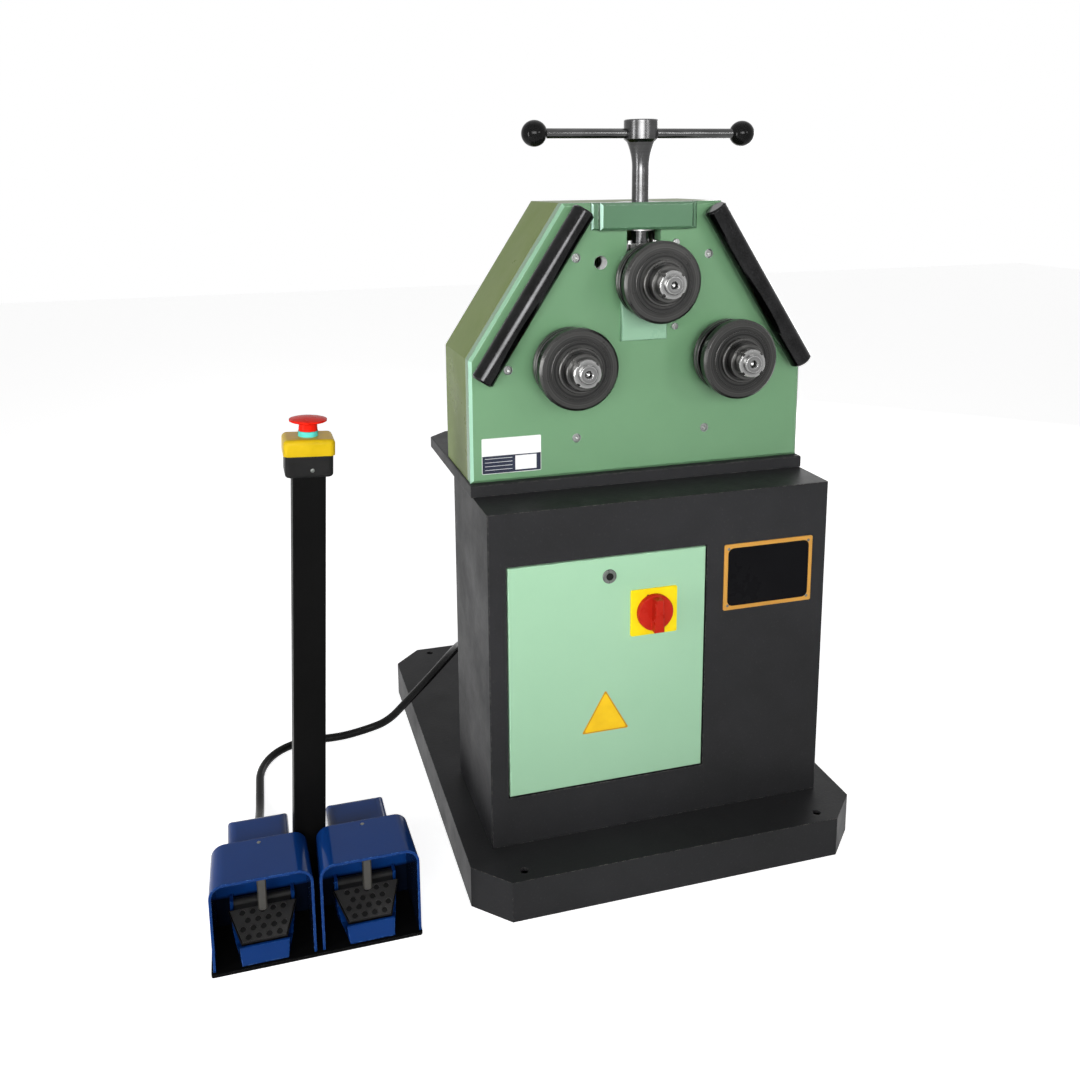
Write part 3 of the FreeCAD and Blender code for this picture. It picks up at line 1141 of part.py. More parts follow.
def make_latch(x):
    """Hanging tongue that the toe pushes back before the pedal can go down."""
    half = LATCH_WIDTH / 2
    barrel = rod(LATCH_BARREL_R, (x - half, LATCH_Y, LATCH_Z), X_AXIS, LATCH_WIDTH)
    thick = LATCH_THICKNESS / 2
    tongue = block(x - half, x + half, LATCH_Y - thick, LATCH_Y + thick, LATCH_Z - LATCH_LENGTH, LATCH_Z)
    lower = [e for e in tongue.Edges if abs(e.Vertexes[0].Y - e.Vertexes[1].Y) > 1
             and e.Vertexes[0].Z < LATCH_Z - 1]
    tongue = tongue.makeFillet(LATCH_TIP_R, lower)
    tongue = tongue.makeChamfer(LATCH_CHAMFER, edges_at(tongue, "y", LATCH_Y - thick))
    latch = fuse_all(barrel, [tongue])
    return latch.cut(rod(LATCH_PIN_R + RUNNING, (x - half, LATCH_Y, LATCH_Z), X_AXIS, LATCH_WIDTH))


def make_pedal_housing(x):
    """Switch box behind the guard, with a tapering ramp and the pedal's ears in front of it."""
    half, z0 = HOUSING_WIDTH / 2, FOOT_PLATE
    box = block(x - half, x + half, GUARD_BACK, HOUSING_BACK, z0, z0 + HOUSING_HEIGHT)
    box = box.makeFillet(HOUSING_RADIUS, edges_at(box, "z", z0 + HOUSING_HEIGHT))
    nose = GUARD_FRONT + RAMP_SETBACK
    crest = nose + RAMP_RUN
    well = crest + 2 * RAMP_CREST
    seat = PEDAL_Z - SEAT_DROP
    profile = [(nose, z0), (crest, z0 + RAMP_HEIGHT), (crest + RAMP_CREST, z0 + RAMP_HEIGHT),
               (well, z0 + HOUSING_FLOOR), (PEDAL_Y - WELL_REAR, z0 + HOUSING_FLOOR),
               (PEDAL_Y - STEP_FRONT, z0 + STEP_HEIGHT), (PEDAL_Y - SEAT_FRONT, seat),
               (GUARD_BACK, seat), (GUARD_BACK, z0)]
    wedge = side_prism(profile, x - half, x + half)
    front_half = RAMP_WIDTH / 2
    plan = plan_prism([(x - front_half, nose), (x + front_half, nose), (x + half, GUARD_BACK - 20),
                       (x + half, GUARD_BACK), (x - half, GUARD_BACK), (x - half, GUARD_BACK - 20)],
                      z0, z0 + HOUSING_HEIGHT)
    ears = []
    for x0 in (x - half, x + half - EAR_THICKNESS):
        ear = block(x0, x0 + EAR_THICKNESS, PEDAL_Y - PEDAL_BARREL_R, GUARD_BACK - GUARD_WALL - SLIDING,
                    seat - 1, PEDAL_Z + PEDAL_BARREL_R)
        ears.append(ear)
    pin = rod(PEDAL_PIN_R, (x - half, PEDAL_Y, PEDAL_Z), X_AXIS, HOUSING_WIDTH)
    return fuse_all(box, [wedge.common(plan), pin] + ears)


def make_pedal(x):
    """Tapering tread plate on a hinge barrel, lower at the toe."""
    length, thick = PEDAL_LENGTH, PEDAL_THICKNESS
    rear, front = PEDAL_REAR_WIDTH / 2, PEDAL_FRONT_WIDTH / 2
    half = HOUSING_WIDTH / 2 - EAR_THICKNESS - SLIDING
    tread = plan_prism([(-half, 0), (half, 0), (half, -PEDAL_NECK), (rear, -PEDAL_NECK), (front, -length),
                        (-front, -length), (-rear, -PEDAL_NECK), (-half, -PEDAL_NECK)],
                       -thick / 2, thick / 2)
    tread = tread.makeChamfer(EDGE_BREAK, edges_at(tread, "z", thick / 2))
    barrel = rod(PEDAL_BARREL_R, (-half, 0, 0), X_AXIS, 2 * half)
    pedal = fuse_all(barrel, [tread]).cut(rod(PEDAL_PIN_R + RUNNING, (-half, 0, 0), X_AXIS, 2 * half))
    pedal.rotate(Vector(), X_AXIS, PEDAL_SLOPE)
    pedal.translate(Vector(x, PEDAL_Y, PEDAL_Z))
    return pedal


def lean_over(shape):
    """Tip a shape sideways about the foot of the post."""
    shape.rotate(Vector(POST_X, POST_Y, FOOT_PLATE), Y_AXIS, POST_LEAN)
    return shape


def make_post():
    half, inner = POST_SIZE / 2, POST_SIZE / 2 - POST_WALL
    low = FOOT_PLATE - POST_WALL
    tube = block(POST_X - half, POST_X + half, POST_Y - half, POST_Y + half, low, POST_TOP)
    tube = tube.makeFillet(POST_WALL + 1, upright_edges(tube))
    tube = tube.cut(block(POST_X - inner, POST_X + inner, POST_Y - inner, POST_Y + inner, low, POST_TOP))
    below = block(POST_X - POST_SIZE, POST_X + POST_SIZE, POST_Y - POST_SIZE, POST_Y + POST_SIZE,
                  0, FOOT_PLATE)
    return lean_over(tube).cut(below)


def stop_box(z0, z1, inset):
    half_x, half_y = STOP_WIDTH / 2 - inset, STOP_DEPTH / 2 - inset
    box = block(POST_X - half_x, POST_X + half_x, POST_Y - half_y, POST_Y + half_y, z0, z1)
    return box.makeFillet(STOP_RADIUS, upright_edges(box))


def make_estop_base():
    base = stop_box(POST_TOP, STOP_SPLIT, STOP_BASE_INSET)
    base = base.makeFillet(STOP_FOOT_RADIUS, edges_at(base, "z", POST_TOP))
    depth = STOP_BASE / 2
    room = rod(STOP_STEM_R + SLIDING, (POST_X, POST_Y, STOP_SPLIT - depth), Z_AXIS, depth)
    return lean_over(base.cut(room))


def make_estop_cover():
    cover = stop_box(STOP_SPLIT, STOP_TOP, 0)
    cover = cover.makeFillet(STOP_TOP_RADIUS, edges_at(cover, "z", STOP_TOP))
    cover = cover.cut(rod(STOP_STEM_R + RUNNING, (POST_X, POST_Y, STOP_SPLIT), Z_AXIS, STOP_COVER))
    sink = STOP_RING_SHOWN + STOP_TRAVEL + 1
    room = rod(STOP_RING_R + SLIDING, (POST_X, POST_Y, STOP_TOP - sink), Z_AXIS, sink)
    return lean_over(cover.cut(room))


def make_estop_ring():
    """Coloured sleeve on the stem that sinks into the cover when the button is down."""
    z0 = STOP_TOP - STOP_TRAVEL
    return lean_over(ring(STOP_RING_R, STOP_STEM_R, (POST_X, POST_Y, z0), Z_AXIS,
                          STOP_TRAVEL + STOP_RING_SHOWN))


def make_estop_stem():
    z0 = STOP_SPLIT - 4
    return lean_over(rod(STOP_STEM_R, (POST_X, POST_Y, z0), Z_AXIS,
                         STOP_TOP + STOP_RING_SHOWN + STOP_NECK / 2 - z0))


def make_estop_head():
    """Mushroom button on a neck, turned about Z, with a crown that is part of a sphere."""
    z0 = STOP_TOP + STOP_RING_SHOWN + SLIDING
    brim = z0 + STOP_NECK
    edge = brim + MUSHROOM_UNDER
    rim = edge + MUSHROOM_RIM
    top = rim + MUSHROOM_DOME
    sphere = (MUSHROOM_R ** 2 + MUSHROOM_DOME ** 2) / (2 * MUSHROOM_DOME)
    half_arc = math.asin(MUSHROOM_R / sphere) / 2
    half_way = Vector(sphere * math.sin(half_arc), 0, top - sphere + sphere * math.cos(half_arc))
    profile = [(0, top), (0, z0), (STOP_NECK_R, z0), (STOP_NECK_R - 1, brim), (MUSHROOM_R - 2, edge - 1),
               (MUSHROOM_R, edge), (MUSHROOM_R, rim)]
    edges = [Part.makeLine(Vector(a, 0, b), Vector(c, 0, d))
             for (a, b), (c, d) in zip(profile, profile[1:])]
    edges.append(Part.Arc(Vector(MUSHROOM_R, 0, rim), half_way, Vector(0, 0, top)).toShape())
    head = Part.Face(Part.Wire(edges)).revolve(Vector(), Z_AXIS, 360)
    head.translate(Vector(POST_X, POST_Y, 0))
    return lean_over(head.cut(rod(STOP_STEM_R + RUNNING, (POST_X, POST_Y, z0), Z_AXIS, STOP_NECK / 2)))


# ---- cable ----
def gland_places():
    return ((CABINET_GLAND_X, CABINET_REAR, CABINET_GLAND_HEIGHT),
            (FOOT_X - GUARD_SPREAD / 2, HOUSING_BACK, PEDAL_GLAND_HEIGHT))


def make_cable_glands():
    """Hexagon and dome nut on the cabinet's back wall and on the left switch box."""
    glands = []
    for x, y, z in gland_places():
        corners = [(x + GLAND_R * math.cos(math.radians(a)), z + GLAND_R * math.sin(math.radians(a)))
                   for a in range(0, 360, 60)]
        nut = front_prism(corners, y, y + GLAND_NUT)
        radius, length = GLAND_R * 0.86, GLAND_DOME
        dome = lathe([(0, 0), (radius, 0), (radius, length * 0.5), (CABLE_R + 1, length), (0, length)],
                     (x, y + GLAND_NUT, z), Y_AXIS)
        glands.append(nut.fuse(dome).removeSplitter())
    return Part.Compound(glands)


def cable_path():
    """Straight runs joined by tangent arcs, each as large as its two runs allow."""
    first_mouth, last_mouth = [Vector(x, y + GLAND_NUT + GLAND_DOME, z) for x, y, z in gland_places()]
    lead = Y_AXIS * CABLE_LEAD
    points = [first_mouth, first_mouth + lead]
    points += [Vector(*p) for p in CABLE_ROUTE]
    points += [last_mouth + lead, last_mouth]
    edges, radii = [], []
    start = points[0]
    for before, corner, after in zip(points, points[1:], points[2:]):
        arrive, leave = corner - before, after - corner
        shorter = min(arrive.Length, leave.Length)
        half_turn = arrive.getAngle(leave) / 2
        trim = 0.45 * shorter
        radii.append(trim / math.tan(half_turn))
        arrive, leave = arrive.normalize(), leave.normalize()
        first, last = corner - arrive * trim, corner + leave * trim
        bisector = (leave - arrive).normalize()
        middle = corner + bisector * (radii[-1] / math.cos(half_turn) - radii[-1])
        edges.append(Part.LineSegment(start, first).toShape())
        edges.append(Part.Arc(first, middle, last).toShape())
        start = last
    edges.append(Part.LineSegment(start, points[-1]).toShape())
    return Part.Wire(edges), radii


def make_pedal_cable():
    path, radii = cable_path()
    start = path.Edges[0].Vertexes[0].Point
    section = Part.Wire(Part.makeCircle(CABLE_R, start, Y_AXIS))
    tube = path.makePipeShell([section], True, False)
    expected = math.pi * CABLE_R ** 2 * path.Length
    print("cable radii", [round(r) for r in radii], "length", round(path.Length),
          "volume ratio", round(tube.Volume / expected, 4))
    return tube


def build_nodes():
    half = ROLL_SPACING / 2
    left_phase, pinion_phase, right_phase = mesh_phases()
    shaft_back = REAR_PLATE_BACK + 4
    top_back = GIB_BACK - 2
    bush_face = HEAD_FRONT - BUSH_FLANGE
    slide_face = HEAD_FRONT - SLIDING - SLIDE_FACE
    left_foot, right_foot = FOOT_X - GUARD_SPREAD / 2, FOOT_X + GUARD_SPREAD / 2
    nodes = {
        "plinth": make_plinth(),
        "cabinet_shell": make_cabinet_shell(),
        "control_gear": make_control_gear(),
        "door": make_door(),
        "lock_barrel": make_lock_barrel(),
        "lock_cam": make_lock_cam(),
        "switch_body": make_switch_body(),
        "switch_plate": make_switch_plate(),
        "switch_knob": make_switch_knob(),
        "bed_plate": make_bed_plate(),
        "front_plate": make_front_plate(),
        "frame_screws": make_frame_screws(),
        "head_cover": make_head_cover(),
        "head_back_cover": make_head_back_cover(),
        "rear_bearing_plate": make_rear_bearing_plate(),
        "shaft_bearings": make_shaft_bearings(),
        "guide_bars": make_guide_bars(),
        "crosshead": make_crosshead(),
        "screw_nut": make_screw_nut(),
        "slide_gibs": make_slide_gibs(),
        "slide_block": make_slide_block(),
        "slide_keeper": make_slide_keeper(),
        "top_bushes": make_top_bushes(),
        "thrust_cap": make_thrust_cap(),
        "feed_screw": make_feed_screw(),
        "handle_bar": make_handle_bar(),
        "ball_knobs": make_ball_knobs(),
        "top_shaft": make_roll_shaft(0, TOP_AXIS, top_back, slide_face),
        "top_rolls": make_rolls(0, TOP_AXIS),
        "top_nut": make_roll_nut(0, TOP_AXIS),
        "left_shaft": make_roll_shaft(-half, LOWER_AXIS, shaft_back, bush_face),
        "left_rolls": make_rolls(-half, LOWER_AXIS),
        "left_nut": make_roll_nut(-half, LOWER_AXIS),
        "left_gear": make_shaft_gear(-half, left_phase),
        "right_shaft": make_roll_shaft(half, LOWER_AXIS, shaft_back, bush_face),
        "right_rolls": make_rolls(half, LOWER_AXIS),
        "right_nut": make_roll_nut(half, LOWER_AXIS),
        "right_gear": make_shaft_gear(half, right_phase),
        "drive_pinion": make_drive_pinion(pinion_phase),
        "gearbox": make_gearbox(),
        "motor": make_motor(),
        "motor_fan_cowl": make_motor_fan_cowl(),
        "foot_plate": make_foot_plate(),
        "left_guard": make_guard(left_foot),
        "right_guard": make_guard(right_foot),
        "left_pedal_housing": make_pedal_housing(left_foot),
        "right_pedal_housing": make_pedal_housing(right_foot),
        "left_pedal": make_pedal(left_foot),
        "right_pedal": make_pedal(right_foot),
        "left_latch": make_latch(left_foot),
        "right_latch": make_latch(right_foot),
        "post": make_post(),
        "estop_base": make_estop_base(),
        "estop_cover": make_estop_cover(),
        "estop_ring": make_estop_ring(),
        "estop_stem": make_estop_stem(),
        "estop_head": make_estop_head(),
        "cable_glands": make_cable_glands(),
        "pedal_cable": make_pedal_cable(),
    }
    return nodes


def main():
    os.makedirs("parts", exist_ok=True)
    for name, shape in build_nodes().items():
        if not shape.isValid():
            print("not valid:", name)
        shape.exportStep("parts/" + name + ".step")


main()
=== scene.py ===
"""Finishes, small trim, cable, light and camera of the ring roller. Metres, +Z up, front towards -Y."""
import math

import bmesh
import bpy
from mathutils import Matrix, Vector


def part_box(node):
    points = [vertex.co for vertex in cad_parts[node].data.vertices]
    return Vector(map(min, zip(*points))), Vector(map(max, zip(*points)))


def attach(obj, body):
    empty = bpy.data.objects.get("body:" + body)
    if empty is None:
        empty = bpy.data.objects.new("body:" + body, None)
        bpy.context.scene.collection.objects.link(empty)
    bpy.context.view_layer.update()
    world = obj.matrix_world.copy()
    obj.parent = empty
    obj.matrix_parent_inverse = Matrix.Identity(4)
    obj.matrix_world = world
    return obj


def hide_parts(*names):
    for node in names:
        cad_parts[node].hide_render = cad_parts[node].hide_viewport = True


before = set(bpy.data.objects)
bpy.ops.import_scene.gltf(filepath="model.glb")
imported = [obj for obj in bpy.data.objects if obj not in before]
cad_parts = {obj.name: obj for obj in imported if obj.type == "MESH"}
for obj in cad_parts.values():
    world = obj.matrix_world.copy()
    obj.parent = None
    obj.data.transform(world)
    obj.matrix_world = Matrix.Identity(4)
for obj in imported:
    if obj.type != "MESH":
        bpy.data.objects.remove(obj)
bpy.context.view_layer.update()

FRONT, BACK = Vector((0, -1, 0)), Vector((0, 1, 0))
UP = Vector((0, 0, 1))

# ---- camera ----
CAMERA_PLACE = Vector((-0.660, -1.800, 1.163))
CAMERA_AZIMUTH = 15.62      # degrees, to the right of straight ahead
CAMERA_DIP = 10.65          # degrees below level
CAMERA_ROLL = -0.62
LENS = 34.08
SENSOR = 36
SHIFT_X, SHIFT_Y = 0.0214, -0.1597

# ---- lamps: name, place, target, width and height, watts, spread in degrees ----
LAMPS = (
    ("front_softbox", (-1.1, -3.0, 1.45), (-0.35, -0.2, 1.02), (2.4, 1.0), 14.5, 58),
    ("right_fill", (1.2, -2.9, 1.6), (0, -0.2, 1.0), (0.7, 0.5), 3.2, 90),
    ("left_strip", (-2.4, -1.08, 0.92), (0, -0.2, 0.95), (0.34, 1.2), 21, 180),
    ("top_light", (0.2, 0.4, 3.2), (0, 0, 0.6), (1.8, 1.8), 4, 180),
    ("rear_fill", (2.4, 2.5, 0.9), (0, 0, 0.7), (1.8, 1.2), 24, 180),
)
SURROUNDING_LIGHT = 0.13

# ---- floor ----
FLOOR_REACH = 9.0
FLOOR_DROP = 0.0005         # below the plinth's foot
FLOOR_PAINT = (0.86, 0.86, 0.86, 1)
FLOOR_GLOW = 0.82
PLINTH_CORNER = 0.055       # how far each corner of the plinth is cut
PLINTH_SHADE_INSET = 0.010  # the floor is dark from this far inside the plinth's edge

# ---- holes of the front plate: x, z, radius ----
ACCESSORY_BORE = ((-0.0755, 1.0210, 0.011),)
SCREW_WELLS = ((0.118, 1.030, 0.0075), (0.2345, 0.8515, 0.0075), (0.117, 0.729, 0.0075))
HOLE_MARGIN = 0.0003

# ---- finishes ----
STEEL_EDGE = 0.0008         # radius of the softened edges of turned and drawn steel
ENAMEL_EDGE = 0.0012
CAST_EDGE = 0.003
INSIDE_SHADE_HEIGHT = 0.056    # painted shade, near-black, on a hood's rear wall up to here
INSIDE_SHADE_BLUR = 0.003
# colour of the painted shade inside the hoods
INSIDE_SHADE_COLOUR = (0.003, 0.006, 0.016)
SMOOTH_ANGLE = math.radians(35)

# ---- cable ----
CABLE_RADIUS = 0.008
CABLE_ROUTE = (
    (-0.2760, -0.0660, 0.2860),
    (-0.2760, -0.0270, 0.2860),
    (-0.2731, 0.0164, 0.2694),
    (-0.2840, 0.0639, 0.2261),
    (-0.3208, 0.1009, 0.1628),
    (-0.3604, 0.1391, 0.0993),
    (-0.3971, 0.1667, 0.0448),
    (-0.4419, 0.1900, 0.0195),
    (-0.4992, 0.1955, 0.0083),
    (-0.5731, 0.2054, 0.0083),
    (-0.6314, 0.1755, 0.0083),
    (-0.6619, 0.1176, 0.0083),
    (-0.6640, 0.0496, 0.0083),
    (-0.6660, -0.0180, 0.0095),
    (-0.6690, -0.0760, 0.0220),
    (-0.6700, -0.1290, 0.0340),
    (-0.6700, -0.1680, 0.0340),
)

# ---- badge on the cabinet ----
BADGE_X, BADGE_Z = 0.19025, 0.4943
BADGE_WIDTH, BADGE_HEIGHT = 0.1655, 0.1165
BADGE_THICKNESS = 0.0016
BADGE_CORNER, FIELD_CORNER = 0.003, 0.010
BADGE_RIM = 0.007
FIELD_START, FIELD_THICKNESS = 0.0014, 0.0006
RIVET_INSET = 0.008
RIVET_R, RIVET_FLATNESS = 0.0026, 0.45

# ---- rating label on the front plate ----
FRONT_PLATE_THICKNESS = 0.025
LABEL_X, LABEL_Z = -0.23025, 0.70975
LABEL_WIDTH, LABEL_HEIGHT = 0.1015, 0.0605
LABEL_CORNER = 0.002
FILM = 0.0004               # thickness of the films
PRINT_START, PRINT = 0.0003, 0.0002
# its blocks of print, in shares of its width and height: x, y, width, height
LABEL_LOWER_HALF = (0, -0.24, 0.985, 0.49)
LABEL_BOX = (0.24, -0.23, 0.36, 0.40)
LABEL_LINES = tuple((-0.22, -0.07 - 0.105 * row, 0.46, 0.0007 / LABEL_HEIGHT) for row in range(4))

# ---- plain triangle on the panel ----
TRIANGLE_X, TRIANGLE_Z = -0.1025, 0.2495
TRIANGLE_WIDTH, TRIANGLE_HEIGHT = 0.083, 0.0735
TRIANGLE_FACE_WIDTH, TRIANGLE_FACE_HEIGHT = 0.0745, 0.0665
TRIANGLE_BORDER = 0.0024
TRIANGLE_CORNER = 0.004

# ---- pedals: distances along the slope are from the pedal's hinge ----
PEDAL_SLOPE = math.radians(28)
PEDAL_HINGE_Y, PEDAL_HINGE_Z = -0.316, 0.052
TREAD_START, TREAD_END = 0.0145, 0.0645
TREAD_REAR, TREAD_FRONT = 0.100, 0.064
TREAD_BASE, TREAD_THICKNESS = 0.0034, 0.0024
TREAD_ROWS, TREAD_ROW_HOLES = 4, 5
TREAD_HOLE_R = 0.0046
TREAD_HOLE_MARGIN = 0.002
TREAD_FIRST_ROW = 0.0062
TREAD_PITCH_X, TREAD_PITCH_Y = 0.0155, 0.0125

# ---- round trim: radius, height, facets, bevel, socket radius ----
STOP_BASE_SCREW = (0.0030, 0.0008, 20, 0.0003, 0.0014)
BACK_COVER_SCREW = (0.006, 0.004, 24, 0.001, 0.003)
GEAR_CAP_BOLT = (0.0055, 0.004, 6)
GEAR_FOOT_BOLT = (0.0075, 0.007, 6)
DRAIN_PLUG = (0.009, 0.006, 6)
OIL_WINDOW = (0.011, 0.003, 28, 0.001)
LOCK_INSERT = (0.0062, 0.0004, 24)
SWITCH_MARK = (0.0022, 0.0004, 20)
GUARD_SCREW_R, GUARD_SCREW_FLATNESS = 0.0034, 0.55
SOCKET_TAPER = 0.96
SOCKET_LEVEL, SOCKET_DEPTH = 0.97, 0.1      # shares of the head's height

# ---- places of the small trim, from an edge or the middle of what carries it ----
GUARD_SCREW_FORWARD, GUARD_SCREW_SUNK = 0.011, 0.0030
SWITCH_MARK_RIGHT, SWITCH_MARK_DOWN = 0.030, 0.012
STOP_SCREW_RIGHT, STOP_SCREW_UP = 0.004, 0.013

# ---- back cover's pairs of screws: x, and height above its foot or below its top ----
COVER_SCREWS_UP = ((0.285, 0.018), (0.10, 0.018), (0.285, 0.19))
COVER_SCREWS_DOWN = ((0.135, 0.018), (0.212, 0.145))

# ---- gear unit ----
GEAR_UNIT_DRUM_R = 0.075
GEAR_UNIT_CAP = 0.008       # how far the cap stands out
CAP_BOLTS, CAP_BOLT_CIRCLE = 6, 0.045
FOOT_BOLT_IN, FOOT_BOLT_FRONT, FOOT_BOLT_REAR = 0.010, 0.055, 0.025
FOOT_THICKNESS = 0.012
DRAIN_PLUG_UP = 0.04
OIL_WINDOW_X, OIL_WINDOW_UP = 0.045, 0.09


# ================= camera and light =================
def make_camera():
    """Camera at the front, left of the middle, with a slight roll."""
    azimuth, dip, roll = map(math.radians, (CAMERA_AZIMUTH, CAMERA_DIP, CAMERA_ROLL))
    ahead = Vector((math.sin(azimuth) * math.cos(dip), math.cos(azimuth) * math.cos(dip), -math.sin(dip)))
    side = Vector((math.cos(azimuth), -math.sin(azimuth), 0))
    over = side.cross(ahead)
    right = side * math.cos(roll) + over * math.sin(roll)
    top = over * math.cos(roll) - side * math.sin(roll)
    data = bpy.data.cameras.new("camera")
    data.lens = LENS
    data.sensor_width = SENSOR
    data.shift_x, data.shift_y = SHIFT_X, SHIFT_Y
    camera = bpy.data.objects.new("camera", data)
    turn = Matrix((right, top, -ahead)).transposed().to_4x4()
    camera.matrix_world = Matrix.Translation(CAMERA_PLACE) @ turn
    bpy.context.scene.collection.objects.link(camera)
    bpy.context.scene.camera = camera


def make_lamp(name, place, target, size, watts, spread):
    """Rectangular area lamp at a place, turned towards its target."""
    data = bpy.data.lights.new(name, "AREA")
    data.shape = "RECTANGLE"
    data.size, data.size_y = size
    data.energy = watts
    data.spread = math.radians(spread)
    lamp = bpy.data.objects.new(name, data)
    lamp.location = place
    lamp.rotation_euler = (Vector(target) - Vector(place)).to_track_quat("-Z", "Y").to_euler()
    bpy.context.scene.collection.objects.link(lamp)


def make_world():
    """Soft grey light all round; white wherever the camera, gloss or glass looks past the object."""
    world = bpy.data.worlds.new("studio")
    bpy.context.scene.world = world
    world.use_nodes = True
    tree = world.node_tree
    backdrop = tree.nodes["Background"]
    backdrop.inputs["Color"].default_value = (1, 1, 1, 1)
    seen = add_ray_mask(tree, "Is Camera Ray", "Is Glossy Ray", "Is Transmission Ray")
    strength = add_range(tree, seen, 0.0, 1.0, SURROUNDING_LIGHT, 1.0)
    tree.links.new(strength, backdrop.inputs["Strength"])


def outside_plinth(tree):
    """Mask that is 0 on the floor beneath the plinth, an octagon, and 1 round it."""
    low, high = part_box("plinth")
    half = (high - low) / 2
    axes = add_axes(tree, add_coordinates(tree, (low + high) / 2))
    across = add_math(tree, "ABSOLUTE", axes["X"])
    along = add_math(tree, "ABSOLUTE", axes["Y"])
    limits = ((across, half.x), (along, half.y),
              (add_math(tree, "ADD", across, along), half.x + half.y - PLINTH_CORNER))
    return add_largest(tree, [add_math(tree, "GREATER_THAN", distance, limit - PLINTH_SHADE_INSET)
                              for distance, limit in limits])


def make_floor():
    """Pale floor that lightens to the white backdrop and keeps the object's shadow."""
    bm = bmesh.new()
    bmesh.ops.create_grid(bm, x_segments=1, y_segments=1, size=FLOOR_REACH,
                          matrix=Matrix.Translation((0, 0, -FLOOR_DROP)))
    mesh = bpy.data.meshes.new("floor")
    bm.to_mesh(mesh)
    bm.free()
    floor = bpy.data.objects.new("floor", mesh)
    bpy.context.scene.collection.objects.link(floor)
    material, tree, shader = new_material("pale_floor", Specular_IOR_Level=0.1, Roughness=0.9,
                                          Base_Color=FLOOR_PAINT, Emission_Color=(1, 1, 1, 1))
    seen = add_ray_mask(tree, "Is Camera Ray", "Is Glossy Ray")
    glow = add_range(tree, seen, 0.0, 1.0, 0.0, FLOOR_GLOW)
    lit = add_math(tree, "MULTIPLY", glow, outside_plinth(tree))
    tree.links.new(lit, shader.inputs["Emission Strength"])
    mesh.materials.append(material)


# ================= material building blocks =================
def add_math(tree, operation, first, second=None):
    node = tree.nodes.new("ShaderNodeMath")
    node.operation = operation
    for socket, value in zip(node.inputs, (first, second)):
        if value is None:
            continue
        if isinstance(value, (int, float)):
            socket.default_value = value
        else:
            tree.links.new(value, socket)
    return node.outputs["Value"]


def add_vector_math(tree, operation, first, second=None):
    """First is a socket; second, where the operation takes one, is a socket or three numbers."""
    node = tree.nodes.new("ShaderNodeVectorMath")
    node.operation = operation
    tree.links.new(first, node.inputs[0])
    if isinstance(second, tuple):
        node.inputs[1].default_value = second
    elif second is not None:
        tree.links.new(second, node.inputs[1])
    return node.outputs["Vector" if operation == "MULTIPLY" else "Value"]


def add_largest(tree, values):
    result = values[0]
    for value in values[1:]:
        result = add_math(tree, "MAXIMUM", result, value)
    return result


def add_ray_mask(tree, *kinds):
    """1 for rays of any of the kinds, else 0."""
    path = tree.nodes.new("ShaderNodeLightPath")
    return add_largest(tree, [path.outputs[kind] for kind in kinds])


def add_range(tree, value, low, high, new_low=0.0, new_high=1.0):
    """Carry low..high over to new_low..new_high and hold the ends."""
    node = tree.nodes.new("ShaderNodeMapRange")
    tree.links.new(value, node.inputs["Value"])
    for name, number in zip(("From Min", "From Max", "To Min", "To Max"), (low, high, new_low, new_high)):
        node.inputs[name].default_value = number
    return node.outputs["Result"]


def add_mix(tree, factor, first, second):
    """Blend two colours; each may be a colour or a socket."""
    node = tree.nodes.new("ShaderNodeMix")
    node.data_type = "RGBA"
    tree.links.new(factor, node.inputs["Factor"])
    for socket, value in zip((node.inputs[6], node.inputs[7]), (first, second)):
        if isinstance(value, tuple):
            socket.default_value = (*value, 1.0)
        else:
            tree.links.new(value, socket)
    return node.outputs[2]


def add_coordinates(tree, centre=(0, 0, 0), stretch=(1, 1, 1)):
    """Object coordinates, moved so that the centre becomes zero."""
    source = tree.nodes.new("ShaderNodeTexCoord")
    mapping = tree.nodes.new("ShaderNodeMapping")
    mapping.vector_type = "TEXTURE"
    mapping.inputs["Location"].default_value = centre
    mapping.inputs["Scale"].default_value = stretch
    tree.links.new(source.outputs["Object"], mapping.inputs["Vector"])
    return mapping.outputs["Vector"]


def add_axes(tree, vector):
    """The vector's X, Y and Z, by name."""
    node = tree.nodes.new("ShaderNodeSeparateXYZ")
    tree.links.new(vector, node.inputs["Vector"])
    return node.outputs


def add_noise(tree, vector, scale, detail, roughness):
    """Noise whose scale is in features per metre."""
    node = tree.nodes.new("ShaderNodeTexNoise")
    tree.links.new(vector, node.inputs["Vector"])
    node.inputs["Scale"].default_value = scale
    node.inputs["Detail"].default_value = detail
    node.inputs["Roughness"].default_value = roughness
    return node.outputs["Fac"]


def add_bump(tree, height, distance, normal, strength=1.0):
    node = tree.nodes.new("ShaderNodeBump")
    tree.links.new(height, node.inputs["Height"])
    node.inputs["Distance"].default_value = distance
    node.inputs["Strength"].default_value = strength
    tree.links.new(normal, node.inputs["Normal"])
    return node.outputs["Normal"]


def add_true_normal(tree):
    return tree.nodes.new("ShaderNodeNewGeometry").outputs["True Normal"]


def add_soft_edges(tree, radius):
    """Normal of slightly rounded edges, and a mask that is 1 on them."""
    bevel = tree.nodes.new("ShaderNodeBevel")
    bevel.samples = 4
    bevel.inputs["Radius"].default_value = radius
    flat = tree.nodes.new("ShaderNodeNewGeometry")
    likeness = add_vector_math(tree, "DOT_PRODUCT", bevel.outputs["Normal"], flat.outputs["Normal"])
    return bevel.outputs["Normal"], add_range(tree, likeness, 0.97, 0.80)


